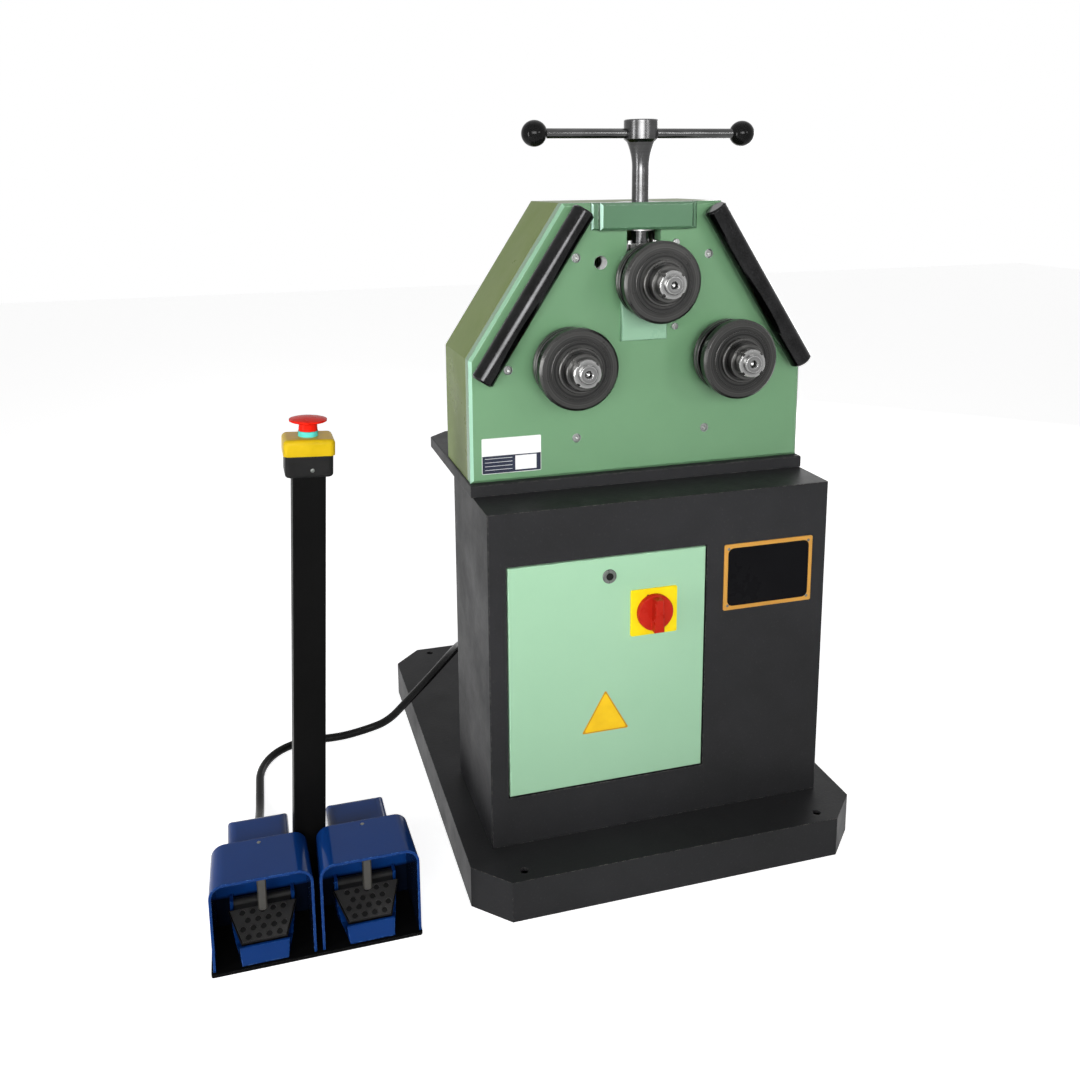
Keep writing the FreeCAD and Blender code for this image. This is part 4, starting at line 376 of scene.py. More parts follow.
def new_material(name, metallic=0.0, **settings):
    """Principled material; each setting is a socket's name with _ for its spaces."""
    material = bpy.data.materials.new(name)
    material.use_nodes = True
    tree = material.node_tree
    shader = tree.nodes["Principled BSDF"]
    shader.inputs["Metallic"].default_value = metallic
    for key, value in settings.items():
        shader.inputs[key.replace("_", " ")].default_value = value
    return material, tree, shader


def paler(colour, gain, lift=0.0):
    return tuple(min(1.0, c * gain + lift) for c in colour)


def cover_colour(material, mask, colour):
    """Lay a colour over a finish where the mask is 1."""
    tree = material.node_tree
    base = tree.nodes["Principled BSDF"].inputs["Base Color"]
    tree.links.new(add_mix(tree, mask, base.links[0].from_socket, colour), base)


# ================= finishes =================
def enamel(name, colour, shade, gloss, orange_peel, edge_wear_and_highlight=None, edge_radius=ENAMEL_EDGE, dust=0.0, shine=0.3):
    """Sprayed paint: slow colour drift, orange peel, duller patches, and paler edges that are partly chipped
    wear and partly painted highlight.
    """
    material, tree, shader = new_material(name, Specular_IOR_Level=shine)
    place = add_coordinates(tree)
    drift = add_noise(tree, place, scale=3.1, detail=4.0, roughness=0.62)
    drift = add_range(tree, drift, 0.34, 0.68)
    paint = add_mix(tree, drift, colour, shade)
    rounded, edges = add_soft_edges(tree, edge_radius)
    if dust:
        speck = add_noise(tree, place, scale=260.0, detail=2.0, roughness=0.6)
        speck = add_range(tree, speck, 0.60, 0.74, 0.0, dust)
        paint = add_mix(tree, speck, paint, paler(colour, 2.2, 0.03))
    # paler edges: chipped wear, and a painted highlight along the edges
    if edge_wear_and_highlight:
        chips = add_noise(tree, place, scale=120.0, detail=3.0, roughness=0.7)
        chips = add_range(tree, chips, 0.45, 0.62)
        wear_and_highlight = add_math(tree, "MULTIPLY", edges, chips)
        paint = add_mix(tree, wear_and_highlight, paint, edge_wear_and_highlight)
    tree.links.new(paint, shader.inputs["Base Color"])
    smear = add_noise(tree, place, scale=9.0, detail=5.0, roughness=0.7)
    smear = add_range(tree, smear, 0.3, 0.75, gloss - 0.07, gloss + 0.12)
    tree.links.new(smear, shader.inputs["Roughness"])
    peel = add_noise(tree, place, scale=190.0, detail=2.0, roughness=0.45)
    tree.links.new(add_bump(tree, peel, orange_peel, rounded), shader.inputs["Normal"])
    return material


def blue_enamel(name):
    return enamel(name, (0.006, 0.052, 0.245), (0.005, 0.042, 0.205), gloss=0.13, orange_peel=0.00004,
                  edge_wear_and_highlight=(0.06, 0.20, 0.62), edge_radius=0.0022, shine=0.10)


def bare_inside(material, holes, mirrored, metal, gloss):
    """Bare metal's colour and gloss in holes along Y; mirrored holes repeat on the other side of x = 0."""
    tree = material.node_tree
    dull = tree.nodes["Principled BSDF"].inputs["Roughness"]
    axes = add_axes(tree, add_coordinates(tree))
    sideways = add_math(tree, "ABSOLUTE", axes["X"]) if mirrored else axes["X"]
    discs = []
    for x, z, radius in holes:
        across = add_math(tree, "SUBTRACT", sideways, x)
        above = add_math(tree, "SUBTRACT", axes["Z"], z)
        squares = add_math(tree, "ADD", add_math(tree, "MULTIPLY", across, across),
                           add_math(tree, "MULTIPLY", above, above))
        discs.append(add_math(tree, "LESS_THAN", squares, (radius + HOLE_MARGIN) ** 2))
    bare = add_largest(tree, discs)
    cover_colour(material, bare, metal)
    painted = add_math(tree, "SUBTRACT", 1.0, bare)
    kept = add_math(tree, "MULTIPLY", dull.links[0].from_socket, painted)
    smooth = add_math(tree, "MULTIPLY", bare, gloss)
    tree.links.new(add_math(tree, "ADD", kept, smooth), dull)


def paint_left_edge_highlight(material, colour, amount):
    """Painted highlight: a pale colour laid on the chamfers that look left and forward."""
    tree = material.node_tree
    left_front = (-math.sqrt(0.5), -math.sqrt(0.5), 0)
    towards = add_vector_math(tree, "DOT_PRODUCT", add_true_normal(tree), left_front)
    cover_colour(material, add_range(tree, towards, 0.88, 0.97, 0.0, amount), colour)


def paint_shade_inside(material, node, height):
    """Painted shade, near-black, on a hood's side walls inside, and on its rear wall inside below a height.
    """
    tree = material.node_tree
    low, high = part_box(node)
    middle = (low + high) / 2
    place = add_axes(tree, add_coordinates(tree, middle))
    towards = add_axes(tree, add_true_normal(tree))
    inward = []
    for axis in ("X", "Y"):
        outwards = add_math(tree, "MULTIPLY", place[axis], towards[axis])
        inward.append(add_range(tree, outwards, -0.004, -0.030))
    sides, rear = inward
    edge = height - middle.z
    foot = add_range(tree, place["Z"], edge + INSIDE_SHADE_BLUR, edge - INSIDE_SHADE_BLUR)
    inner = add_math(tree, "MAXIMUM", sides, add_math(tree, "MULTIPLY", rear, foot))
    # painted shade over the inside of the hood
    cover_colour(material, inner, INSIDE_SHADE_COLOUR)
    return material


def turned_metal(name, centre, axis, colour, shade, gloss, groove=0.00006, pitch=900.0):
    """Lathe-turned steel: fine rings about the axis, oily patches and a painted highlight on its edges."""
    material, tree, shader = new_material(name, metallic=1.0)
    place = add_coordinates(tree, centre)
    across = tuple(0.0 if axis == other else 1.0 for other in "xyz")
    reach = add_vector_math(tree, "LENGTH", add_vector_math(tree, "MULTIPLY", place, across))
    rings = tree.nodes.new("ShaderNodeCombineXYZ")
    tree.links.new(reach, rings.inputs["X"])
    tree.links.new(add_axes(tree, place)[axis.upper()], rings.inputs["Y"])
    lines = add_noise(tree, rings.outputs["Vector"], scale=pitch, detail=3.0, roughness=0.6)
    oil = add_noise(tree, place, scale=34.0, detail=4.0, roughness=0.6)
    bands = add_noise(tree, rings.outputs["Vector"], scale=pitch * 0.14, detail=2.0, roughness=0.5)
    tone = add_range(tree, add_math(tree, "ADD", lines, bands), 0.80, 1.20)
    rounded, edges = add_soft_edges(tree, STEEL_EDGE)
    metal = add_mix(tree, tone, shade, colour)
    # painted highlight: the softened edges mixed towards a paler colour
    metal = add_mix(tree, add_math(tree, "MULTIPLY", edges, 0.75), metal, paler(colour, 2.4, 0.05))
    tree.links.new(metal, shader.inputs["Base Color"])
    smear = add_range(tree, oil, 0.3, 0.7, gloss - 0.03, gloss + 0.08)
    tree.links.new(smear, shader.inputs["Roughness"])
    tree.links.new(add_bump(tree, lines, groove, rounded), shader.inputs["Normal"])
    return material


def drawn_metal(name, colour, shade, gloss, along=(1, 1, 14), edge_radius=STEEL_EDGE):
    """Ground or drawn steel with fine lines along one direction."""
    material, tree, shader = new_material(name, metallic=1.0)
    streak = add_noise(tree, add_coordinates(tree, stretch=along), scale=420.0, detail=3.0, roughness=0.6)
    patch = add_noise(tree, add_coordinates(tree), scale=22.0, detail=4.0, roughness=0.6)
    tone = add_range(tree, add_math(tree, "ADD", streak, patch), 0.75, 1.25)
    tree.links.new(add_mix(tree, tone, shade, colour), shader.inputs["Base Color"])
    smear = add_range(tree, streak, 0.3, 0.7, gloss - 0.05, gloss + 0.12)
    tree.links.new(smear, shader.inputs["Roughness"])
    rounded, _ = add_soft_edges(tree, edge_radius)
    tree.links.new(add_bump(tree, streak, 0.00004, rounded), shader.inputs["Normal"])
    return material


def moulded(name, colour, gloss, grain=0.00005, grain_scale=700.0, edge_radius=0.0012, shine=0.22):
    """Moulded plastic or rubber: fine spark-eroded grain and slight colour drift."""
    material, tree, shader = new_material(name, Specular_IOR_Level=shine)
    place = add_coordinates(tree)
    drift = add_noise(tree, place, scale=24.0, detail=4.0, roughness=0.6)
    drift = add_range(tree, drift, 0.35, 0.7)
    paint = add_mix(tree, drift, colour, paler(colour, 1.18, 0.004))
    tree.links.new(paint, shader.inputs["Base Color"])
    tree.links.new(add_range(tree, drift, 0.0, 1.0, gloss, gloss + 0.10), shader.inputs["Roughness"])
    rounded, _ = add_soft_edges(tree, edge_radius)
    skin = add_noise(tree, place, scale=grain_scale, detail=2.0, roughness=0.5)
    tree.links.new(add_bump(tree, skin, grain, rounded), shader.inputs["Normal"])
    return material


def cast_metal(name, colour, gloss):
    """Painted casting with a sandy skin."""
    material, tree, shader = new_material(name)
    sand = add_noise(tree, add_coordinates(tree), scale=170.0, detail=5.0, roughness=0.7)
    tone = add_range(tree, sand, 0.4, 0.62)
    tree.links.new(add_mix(tree, tone, colour, paler(colour, 1.35)), shader.inputs["Base Color"])
    tree.links.new(add_range(tree, sand, 0.3, 0.7, gloss - 0.05, gloss + 0.1), shader.inputs["Roughness"])
    rounded, _ = add_soft_edges(tree, CAST_EDGE)
    tree.links.new(add_bump(tree, sand, 0.0005, rounded, 0.8), shader.inputs["Normal"])
    return material


def paint_finishes():
    """Sprayed and enamelled finishes, by name."""
    front = enamel("green_enamel_front", (0.156, 0.306, 0.166), (0.138, 0.280, 0.148), gloss=0.18,
                   orange_peel=0.00006, edge_wear_and_highlight=(0.33, 0.50, 0.36), edge_radius=0.0018)
    # painted highlight on the front plate's left chamfers
    paint_left_edge_highlight(front, (0.40, 0.68, 0.52), amount=0.8)
    bare_inside(front, SCREW_WELLS, mirrored=True, metal=(0.34, 0.38, 0.35), gloss=0.28)
    # bore wall: near-white, a painted reflection of its machined metal
    bare_inside(front, ACCESSORY_BORE, mirrored=False, metal=(0.97, 0.98, 0.97), gloss=0.28)
    # crosshead: the front's green painted darker, as painted shade
    crosshead = enamel("green_enamel", (0.086, 0.196, 0.106), (0.077, 0.178, 0.095), gloss=0.12,
                       orange_peel=0.00004, edge_wear_and_highlight=(0.33, 0.50, 0.36), edge_radius=0.0018, shine=0.5)
    # painted highlight on the crosshead's left chamfers
    paint_left_edge_highlight(crosshead, (0.56, 0.84, 0.70), amount=1.0)
    finishes = {
        "front_green": front,
        "green": crosshead,
        # head's sides and back: the front's green painted darker and more olive, as painted shade
        "side_green": enamel("green_enamel_sides_painted_shade", (0.196, 0.258, 0.078), (0.166, 0.226, 0.064),
                             gloss=0.30, orange_peel=0.00010, edge_wear_and_highlight=(0.30, 0.42, 0.20),
                             edge_radius=0.0014, shine=0.04),
        "pale_green": enamel("pale_green_enamel", (0.375, 0.625, 0.418), (0.352, 0.600, 0.395),
                             gloss=0.36, orange_peel=0.00008, edge_wear_and_highlight=(0.80, 0.94, 0.84),
                             edge_radius=0.0022, shine=0.2),
        # slide's face: the green painted lighter than the front's, as painted light
        "slide_green": enamel("slide_green_painted_light", (0.262, 0.455, 0.310), (0.245, 0.430, 0.290),
                              gloss=0.30, orange_peel=0.00008),
        "charcoal": enamel("charcoal_paint", (0.030, 0.030, 0.032), (0.022, 0.022, 0.023), gloss=0.42,
                           orange_peel=0.00022, edge_wear_and_highlight=(0.19, 0.18, 0.165), edge_radius=0.0018,
                           dust=0.10, shine=0.07),
        "primer": enamel("grey_primer", (0.20, 0.21, 0.22), (0.16, 0.17, 0.18), gloss=0.60,
                         orange_peel=0.0002),
        "motor": enamel("motor_grey", (0.10, 0.115, 0.125), (0.08, 0.092, 0.10), gloss=0.42,
                        orange_peel=0.0002),
        "cast": cast_metal("cast_gear_case", (0.085, 0.098, 0.105), gloss=0.5),
        "blue": blue_enamel("blue_enamel"),
        "black": enamel("black_paint", (0.005, 0.005, 0.005), (0.0035, 0.0035, 0.0035), gloss=0.38,
                        orange_peel=0.00018, edge_wear_and_highlight=(0.04, 0.04, 0.04), shine=0.03),
        "amber": enamel("amber_enamel", (0.66, 0.33, 0.06), (0.56, 0.27, 0.045), gloss=0.35,
                        orange_peel=0.00005),
        "badge_black": enamel("badge_field", (0.004, 0.004, 0.005), (0.006, 0.006, 0.007), gloss=0.30,
                              orange_peel=0.00004, shine=0.04),
    }
    for side in ("left", "right"):
        # each hood gets painted shade inside
        hood = blue_enamel(side + "_hood_enamel_shaded_inside")
        finishes[side + "_hood"] = paint_shade_inside(hood, side + "_guard", INSIDE_SHADE_HEIGHT)
    return finishes


def metal_finishes():
    """Bare steel and bronze, by name."""
    finishes = {
        "bar_black": drawn_metal("blackened_bar", (0.030, 0.030, 0.031), (0.014, 0.014, 0.014),
                                 gloss=0.10, along=(1, 1, 1), edge_radius=0.0015),
        "bright": drawn_metal("bright_steel", (0.62, 0.62, 0.61), (0.46, 0.46, 0.45), gloss=0.24),
        "lock": drawn_metal("lock_steel", (0.20, 0.21, 0.20), (0.12, 0.13, 0.12), gloss=0.30),
        "gear": drawn_metal("gear_steel", (0.42, 0.42, 0.41), (0.26, 0.26, 0.25), gloss=0.34),
        "bar_steel": drawn_metal("handle_bar_steel", (0.11, 0.11, 0.11), (0.06, 0.06, 0.06), gloss=0.16,
                                 along=(14, 1, 1)),
        "bronze": drawn_metal("bush_bronze", (0.62, 0.43, 0.17), (0.45, 0.30, 0.11), gloss=0.34),
        "screw_head": drawn_metal("screw_steel", (0.42, 0.43, 0.42), (0.22, 0.23, 0.22), gloss=0.24),
        "feed_screw": turned_metal("feed_screw_steel", centre_of("feed_screw"), "z", (0.088, 0.088, 0.090),
                                   (0.066, 0.066, 0.066), gloss=0.22, groove=0.000001, pitch=160.0),
    }
    for side in ("top", "left", "right"):
        axis = centre_of(side + "_nut")
        finishes[side + "_roll"] = turned_metal(side + "_roll_steel", axis, "y", (0.092, 0.091, 0.088),
                                                (0.022, 0.022, 0.022), gloss=0.28)
        finishes[side + "_nose"] = turned_metal(side + "_nose_steel", axis, "y", (0.36, 0.36, 0.355),
                                                (0.15, 0.15, 0.15), gloss=0.20, groove=0.00004)
    return finishes


def plastic_finishes():
    """Plastic, rubber and film, by name."""
    return {
        "ball": moulded("black_ball_plastic", (0.004, 0.004, 0.004), gloss=0.07, grain=0.000006,
                        shine=0.10),
        "black_plastic": moulded("black_plastic", (0.009, 0.009, 0.009), gloss=0.42, shine=0.08),
        "tread": moulded("tread_rubber", (0.007, 0.007, 0.007), gloss=0.50, grain=0.00015,
                         grain_scale=420.0),
        "web": moulded("tread_web_rubber", (0.042, 0.041, 0.040), gloss=0.36, grain=0.00015,
                       grain_scale=420.0),
        "grey_plastic": moulded("grey_plastic", (0.070, 0.066, 0.058), gloss=0.24, shine=0.35),
        "yellow": moulded("yellow_plastic", (0.90, 0.66, 0.008), gloss=0.30, shine=0.10),
        "stop_yellow": moulded("yellow_stop_cover", (0.55, 0.37, 0.005), gloss=0.30, shine=0.10),
        "red": moulded("red_plastic", (0.46, 0.017, 0.008), gloss=0.24, edge_radius=0.0018, shine=0.08),
        "stop_red": moulded("red_stop_button", (0.70, 0.012, 0.003), gloss=0.24, edge_radius=0.0018,
                            shine=0.05),
        "teal": moulded("teal_plastic", (0.10, 0.62, 0.55), gloss=0.30),
        "control": moulded("control_plastic", (0.36, 0.37, 0.36), gloss=0.5),
        "sheath": moulded("cable_sheath", (0.004, 0.004, 0.004), gloss=0.20, grain=0.00004,
                          grain_scale=500.0, shine=0.07),
        "label_white": moulded("white_film", (0.80, 0.81, 0.80), gloss=0.42, grain=0.00002),
        "label_blue": moulded("blue_film", (0.020, 0.024, 0.045), gloss=0.40, grain=0.00002),
        "sign_yellow": moulded("yellow_film", (0.90, 0.54, 0.012), gloss=0.42, grain=0.00002),
        "sign_edge": moulded("amber_film", (0.62, 0.29, 0.01), gloss=0.42, grain=0.00002),
    }


NODE_FINISH = {
    "plinth": "charcoal", "cabinet_shell": "charcoal", "bed_plate": "charcoal",
    "control_gear": "control", "door": "pale_green", "lock_barrel": "lock", "lock_cam": "bright",
    "switch_body": "black_plastic", "switch_plate": "yellow", "switch_knob": "red",
    "front_plate": "front_green", "head_cover": "side_green", "head_back_cover": "side_green",
    "frame_screws": "screw_head", "rear_bearing_plate": "primer", "shaft_bearings": "bronze",
    "guide_bars": "bar_black", "crosshead": "green", "screw_nut": "gear", "slide_gibs": "bright",
    "slide_block": "slide_green", "slide_keeper": "bright", "top_bushes": "bronze",
    "thrust_cap": "bright", "feed_screw": "feed_screw", "handle_bar": "bar_steel", "ball_knobs": "ball",
    "top_shaft": "top_nose", "top_rolls": "top_roll", "top_nut": "top_nose",
    "left_shaft": "left_nose", "left_rolls": "left_roll", "left_nut": "left_nose", "left_gear": "gear",
    "right_shaft": "right_nose", "right_rolls": "right_roll", "right_nut": "right_nose",
    "right_gear": "gear", "drive_pinion": "gear",
    "gearbox": "cast", "motor": "motor", "motor_fan_cowl": "motor",
    "foot_plate": "black", "left_guard": "left_hood", "right_guard": "right_hood",
    "left_pedal_housing": "blue", "right_pedal_housing": "blue",
    "left_pedal": "tread", "right_pedal": "tread",
    "left_latch": "grey_plastic", "right_latch": "grey_plastic",
    "post": "black", "estop_base": "black_plastic", "estop_cover": "stop_yellow",
    "estop_ring": "teal", "estop_stem": "stop_red", "estop_head": "stop_red",
    "cable_glands": "black_plastic", "pedal_cable": "sheath",
}


def finish_nodes(finishes):
    """Give every CAD piece its finish."""
    for name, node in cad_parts.items():
        material = finishes[NODE_FINISH[name]]
        if not node.material_slots:
            node.data.materials.append(material)
        for slot in node.material_slots:
            slot.material = material


# ================= modelling helpers =================
def centre_of(node):
    low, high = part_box(node)
    return (low + high) / 2


def facing(place, direction, up=UP):
    """Matrix whose origin is the place and whose +Z is the direction, with +Y as near to up as it can be."""
    z = Vector(direction).normalized()
    y = Vector(up) - z * z.dot(Vector(up))
    if y.length < 1e-6:
        y = BACK - z * z.dot(BACK)
    y.normalize()
    x = y.cross(z)
    turn = Matrix((x, y, z)).transposed().to_4x4()
    return Matrix.Translation(place) @ turn


def moved(at, x, y, z):
    """The place shifted along its own axes."""
    return at @ Matrix.Translation((x, y, z))


def raise_faces(bm, faces, at, depth):
    """Pull flat faces up by a depth and close the solid below them."""
    lift = (at.to_3x3() @ UP) * depth
    pulled = bmesh.ops.extrude_face_region(bm, geom=faces, use_keep_orig=True)
    top = [v for v in pulled["geom"] if isinstance(v, bmesh.types.BMVert)]
    bmesh.ops.translate(bm, verts=top, vec=lift)


def add_disc(bm, at, radius, height, segments, edge=0.0, socket=0.0):
    """Round head standing on the place, with a bevelled rim and an optional six-sided socket."""
    made = bmesh.ops.create_cone(bm, cap_ends=True, segments=segments, radius1=radius, radius2=radius,
                                 depth=height, matrix=moved(at, 0, 0, height / 2))
    inverse = at.inverted()
    top = [v for v in made["verts"] if (inverse @ v.co).z > height * 0.99]
    if edge:
        rim = [e for e in bm.edges if e.verts[0] in top and e.verts[1] in top]
        bmesh.ops.bevel(bm, geom=rim, offset=edge, segments=2, affect="EDGES", profile=0.5, material=-1)
    if socket:
        bmesh.ops.create_cone(bm, cap_ends=True, segments=6, radius1=socket, radius2=socket * SOCKET_TAPER,
                              depth=height * SOCKET_DEPTH, matrix=moved(at, 0, 0, height * SOCKET_LEVEL))


def add_button(bm, at, radius, flatness, segments):
    """Flattened ball, half of it above the place."""
    bmesh.ops.create_uvsphere(bm, u_segments=segments, v_segments=segments // 2, radius=radius,
                              matrix=at @ Matrix.Diagonal((1, 1, flatness, 1)))


def add_sheet(bm, at, outline, depth, corner, segments):
    """Flat sheet with rounded corners standing on the place, alone in its mesh."""
    corners = [bm.verts.new(at @ Vector((x, y, 0))) for x, y in outline]
    bm.faces.new(corners)
    bmesh.ops.bevel(bm, geom=corners, offset=corner, segments=segments, affect="VERTICES", profile=0.5,
                    material=-1)
    raise_faces(bm, list(bm.faces), at, depth)


def add_plate(bm, at, width, height, depth, corner):
    x, y = width / 2, height / 2
    add_sheet(bm, at, ((-x, -y), (x, -y), (x, y), (-x, y)), depth, corner, 5)


def add_triangle(bm, at, width, height, depth):
    """Triangle that points up and stands on the middle of its lower edge."""
    outline = ((-width / 2, 0), (width / 2, 0), (0, height))
    add_sheet(bm, at, outline, depth, TRIANGLE_CORNER, 4)


def make_piece(bm, name, material, body):
    """Turn the mesh into an object at the origin that rides on its body."""
    bmesh.ops.recalc_face_normals(bm, faces=bm.faces)
    mesh = bpy.data.meshes.new(name)
    bm.to_mesh(mesh)
    bm.free()
    mesh.shade_smooth()
    mesh.set_sharp_from_angle(angle=SMOOTH_ANGLE)
    mesh.materials.append(material)
    piece = bpy.data.objects.new(name, mesh)
    bpy.context.scene.collection.objects.link(piece)
    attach(piece, body)


# ================= cable =================
def make_cable(finishes):
    """Cable along its route, from the cabinet's rear gland to the left switch box."""
    curve = bpy.data.curves.new("cable", "CURVE")
    curve.dimensions = "3D"
    curve.bevel_depth = CABLE_RADIUS
    curve.bevel_resolution = 7
    curve.resolution_u = 16
    spline = curve.splines.new("NURBS")
    spline.points.add(len(CABLE_ROUTE) - 1)
    for point, place in zip(spline.points, CABLE_ROUTE):
        point.co = (*place, 1.0)
    spline.order_u = 3
    spline.use_endpoint_u = True
    curve.materials.append(finishes["sheath"])
    cable = bpy.data.objects.new("cable", curve)
    bpy.context.scene.collection.objects.link(cable)
    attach(cable, "frame")
    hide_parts("pedal_cable")


# ================= plates and films =================
def add_print(bm, at, block, start):
    """Flat block of print on the label, its places and size in shares of the label's."""
    x, y, width, height = block
    middle = moved(at, x * LABEL_WIDTH, y * LABEL_HEIGHT, start + PRINT / 2)
    scale = Matrix.Diagonal((width * LABEL_WIDTH, height * LABEL_HEIGHT, PRINT, 1))
    bmesh.ops.create_cube(bm, size=1.0, matrix=middle @ scale)


def make_badge(finishes):
    """Bare badge with an enamelled rim, dark field and four rivets."""
    at = facing(Vector((BADGE_X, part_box("cabinet_shell")[0].y, BADGE_Z)), FRONT)
    rim = bmesh.new()
    add_plate(rim, at, BADGE_WIDTH, BADGE_HEIGHT, BADGE_THICKNESS, BADGE_CORNER)
    make_piece(rim, "badge_rim", finishes["amber"], "frame")
    field = bmesh.new()
    add_plate(field, moved(at, 0, 0, FIELD_START), BADGE_WIDTH - 2 * BADGE_RIM,
              BADGE_HEIGHT - 2 * BADGE_RIM, FIELD_THICKNESS, FIELD_CORNER)
    make_piece(field, "badge_field", finishes["badge_black"], "frame")
    rivets = bmesh.new()
    for x in (-1, 1):
        for y in (-1, 1):
            spot = moved(at, x * (BADGE_WIDTH / 2 - RIVET_INSET), y * (BADGE_HEIGHT / 2 - RIVET_INSET),
                         BADGE_THICKNESS)
            add_button(rivets, spot, RIVET_R, RIVET_FLATNESS, 16)
    make_piece(rivets, "badge_rivets", finishes["lock"], "frame")


def make_rating_label(finishes):
    """Bare film label: white upper half, dark lower half with ruled lines and a white box."""
    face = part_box("head_cover")[0].y - FRONT_PLATE_THICKNESS
    at = facing(Vector((LABEL_X, face, LABEL_Z)), FRONT)
    base = bmesh.new()
    add_plate(base, at, LABEL_WIDTH, LABEL_HEIGHT, FILM, LABEL_CORNER)
    make_piece(base, "label_film", finishes["label_white"], "frame")
    lower = bmesh.new()
    add_print(lower, at, LABEL_LOWER_HALF, PRINT_START)
    make_piece(lower, "label_lower_half", finishes["label_blue"], "frame")
    marks = bmesh.new()
    for block in (LABEL_BOX, *LABEL_LINES):
        add_print(marks, at, block, FILM)
    make_piece(marks, "label_form_lines", finishes["label_white"], "frame")


def make_plain_triangle(finishes):
    """Bare yellow triangle on the panel, with a darker edge."""
    at = facing(Vector((TRIANGLE_X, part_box("door")[0].y, TRIANGLE_Z)), FRONT)
    edge = bmesh.new()
    add_triangle(edge, at, TRIANGLE_WIDTH, TRIANGLE_HEIGHT, FILM)
    make_piece(edge, "triangle_edge", finishes["sign_edge"], "panel")
    face = bmesh.new()
    add_triangle(face, moved(at, 0, TRIANGLE_BORDER, PRINT_START), TRIANGLE_FACE_WIDTH,
                 TRIANGLE_FACE_HEIGHT, PRINT)
    make_piece(face, "triangle_face", finishes["sign_yellow"], "panel")


# ================= pedals =================
def tread_width(distance):
    """Width of the tapering tread at a distance from the hinge."""
    share = (distance - TREAD_START) / (TREAD_END - TREAD_START)
    return TREAD_REAR + (TREAD_FRONT - TREAD_REAR) * share


def add_tread_outline(bm, at):
    """Tapering edge loop of the tread."""
    corners = [(side * tread_width(y) / 2, -y) for y, side in
               ((TREAD_START, -1), (TREAD_START, 1), (TREAD_END, 1), (TREAD_END, -1))]
    verts = [bm.verts.new(at @ Vector((x, y, 0))) for x, y in corners]
    for first, second in zip(verts, verts[1:] + verts[:1]):
        bm.edges.new((first, second))


def make_pedal_tread(side, finishes):
    """Raised rubber web with staggered round holes on the sloping pedal."""
    normal = Vector((0, -math.sin(PEDAL_SLOPE), math.cos(PEDAL_SLOPE)))
    hinge = Vector((centre_of(side + "_pedal").x, PEDAL_HINGE_Y, PEDAL_HINGE_Z))
    at = facing(hinge + normal * TREAD_BASE, normal, BACK)
    web = bmesh.new()
    add_tread_outline(web, at)
    for row in range(TREAD_ROWS):
        y = TREAD_START + TREAD_FIRST_ROW + row * TREAD_PITCH_Y
        count = TREAD_ROW_HOLES - row % 2
        for i in range(count):
            x = (i - (count - 1) / 2) * TREAD_PITCH_X
            if abs(x) + TREAD_HOLE_R + TREAD_HOLE_MARGIN < tread_width(y) / 2:
                bmesh.ops.create_circle(web, cap_ends=False, segments=16, radius=TREAD_HOLE_R,
                                        matrix=moved(at, x, -y, 0))
    filled = bmesh.ops.triangle_fill(web, use_beauty=True, edges=web.edges[:], normal=normal)
    faces = [part for part in filled["geom"] if isinstance(part, bmesh.types.BMFace)]
    raise_faces(web, faces, at, TREAD_THICKNESS)
    make_piece(web, side + "_pedal_tread", finishes["web"], side + "_foot_pedal")


def make_guard_screw(side, finishes):
    """Button-head screw that holds the hood's roof."""
    _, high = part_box(side + "_guard")
    spot = Vector((centre_of(side + "_guard").x, high.y - GUARD_SCREW_FORWARD, high.z - GUARD_SCREW_SUNK))
    bm = bmesh.new()
    add_button(bm, Matrix.Translation(spot), GUARD_SCREW_R, GUARD_SCREW_FLATNESS, 20)
    make_piece(bm, side + "_guard_screw", finishes["lock"], "frame")


# ================= small trim =================
def make_panel_trim(finishes):
    """Dark insert of the lock, and the mark on the switch plate."""
    low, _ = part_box("lock_barrel")
    centre = centre_of("lock_barrel")
    insert = bmesh.new()
    add_disc(insert, facing(Vector((centre.x, low.y, centre.z)), FRONT), *LOCK_INSERT)
    make_piece(insert, "lock_insert", finishes["black_plastic"], "panel")
    low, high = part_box("switch_plate")
    spot = Vector((low.x + SWITCH_MARK_RIGHT, low.y, high.z - SWITCH_MARK_DOWN))
    mark = bmesh.new()
    add_disc(mark, facing(spot, FRONT), *SWITCH_MARK)
    make_piece(mark, "switch_plate_mark", finishes["black_plastic"], "panel")


def make_stop_base_screw(finishes):
    """Cover screw low on the front of the stop button's base."""
    low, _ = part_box("estop_base")
    spot = Vector((centre_of("estop_base").x + STOP_SCREW_RIGHT, low.y, low.z + STOP_SCREW_UP))
    bm = bmesh.new()
    add_disc(bm, facing(spot, FRONT), *STOP_BASE_SCREW)
    make_piece(bm, "stop_base_screw", finishes["lock"], "frame")


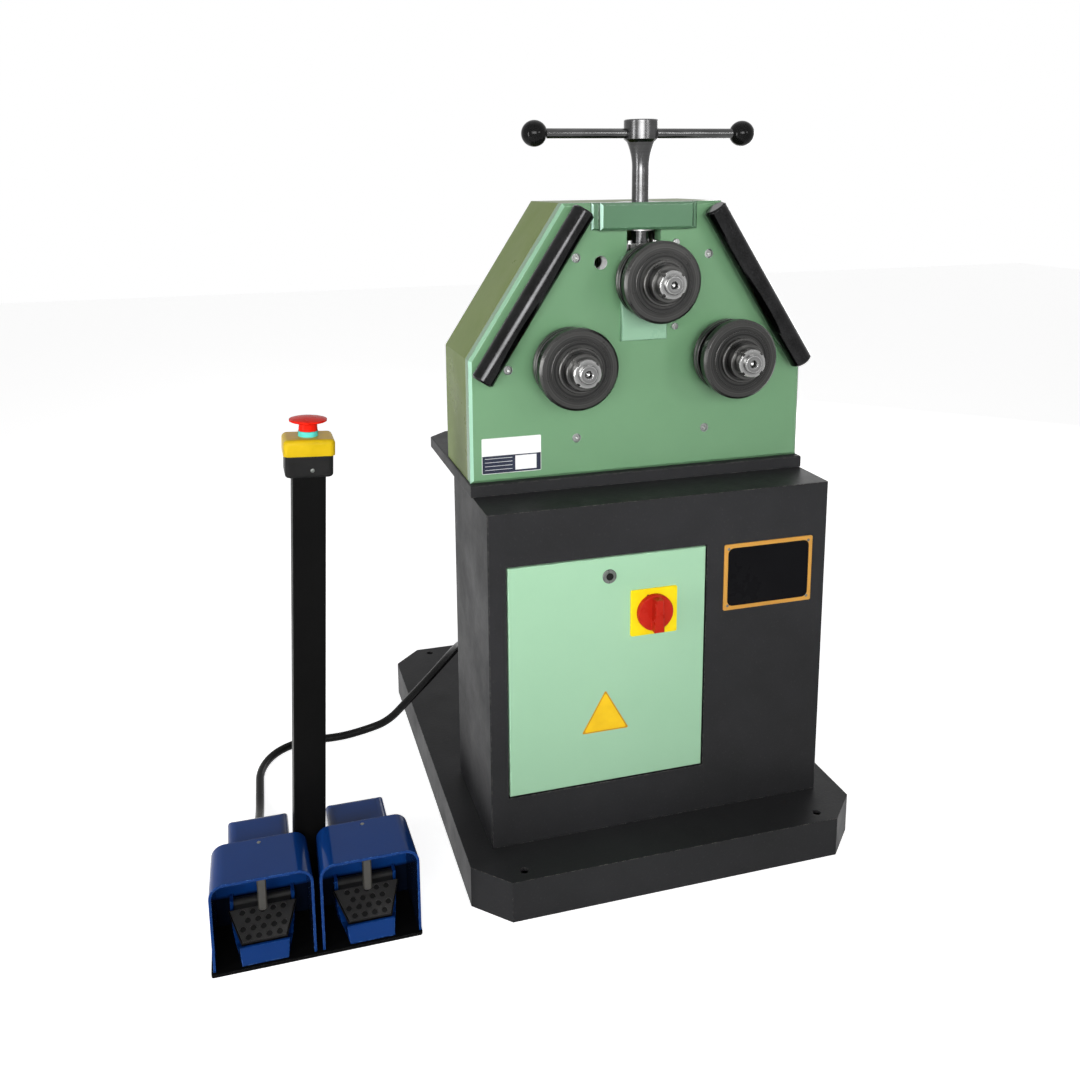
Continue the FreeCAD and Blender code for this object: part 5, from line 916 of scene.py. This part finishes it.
def make_back_screws(finishes):
    """Screws round the edge of the back cover, in pairs."""
    low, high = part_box("head_back_cover")
    pairs = [(x, low.z + up) for x, up in COVER_SCREWS_UP]
    pairs += [(x, high.z - down) for x, down in COVER_SCREWS_DOWN]
    bm = bmesh.new()
    for x, z in pairs:
        for side in (-1, 1):
            add_disc(bm, facing(Vector((side * x, high.y, z)), BACK), *BACK_COVER_SCREW)
    make_piece(bm, "back_cover_screws", finishes["screw_head"], "frame")


def make_gear_unit_trim(finishes):
    """Bolts of the gear unit's cap and feet, its drain plug and its oil window."""
    low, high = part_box("gearbox")
    shoulder = high.y - GEAR_UNIT_CAP
    bolts = bmesh.new()
    for i in range(CAP_BOLTS):
        turn = math.radians(360 * (i + 0.5) / CAP_BOLTS)
        spot = Vector((CAP_BOLT_CIRCLE * math.cos(turn), high.y,
                       high.z - GEAR_UNIT_DRUM_R + CAP_BOLT_CIRCLE * math.sin(turn)))
        add_disc(bolts, facing(spot, BACK), *GEAR_CAP_BOLT)
    for x in (low.x + FOOT_BOLT_IN, high.x - FOOT_BOLT_IN):
        for y in (low.y + FOOT_BOLT_FRONT, high.y - FOOT_BOLT_REAR):
            add_disc(bolts, facing(Vector((x, y, low.z + FOOT_THICKNESS)), UP), *GEAR_FOOT_BOLT)
    add_disc(bolts, facing(Vector((0, shoulder, low.z + DRAIN_PLUG_UP)), BACK), *DRAIN_PLUG)
    make_piece(bolts, "gear_unit_bolts", finishes["bright"], "frame")
    glass = bmesh.new()
    spot = Vector((OIL_WINDOW_X, shoulder, low.z + OIL_WINDOW_UP))
    add_disc(glass, facing(spot, BACK), *OIL_WINDOW)
    make_piece(glass, "oil_window", finishes["yellow"], "frame")


def make_trim(finishes):
    make_badge(finishes)
    make_rating_label(finishes)
    make_plain_triangle(finishes)
    make_panel_trim(finishes)
    for side in ("left", "right"):
        make_pedal_tread(side, finishes)
        make_guard_screw(side, finishes)
    make_stop_base_screw(finishes)
    make_back_screws(finishes)
    make_gear_unit_trim(finishes)


bpy.context.scene.view_settings.view_transform = "Standard"
make_camera()
finishes = {**paint_finishes(), **metal_finishes(), **plastic_finishes()}
make_cable(finishes)
finish_nodes(finishes)
make_trim(finishes)
for lamp in LAMPS:
    make_lamp(*lamp)
make_world()
make_floor()
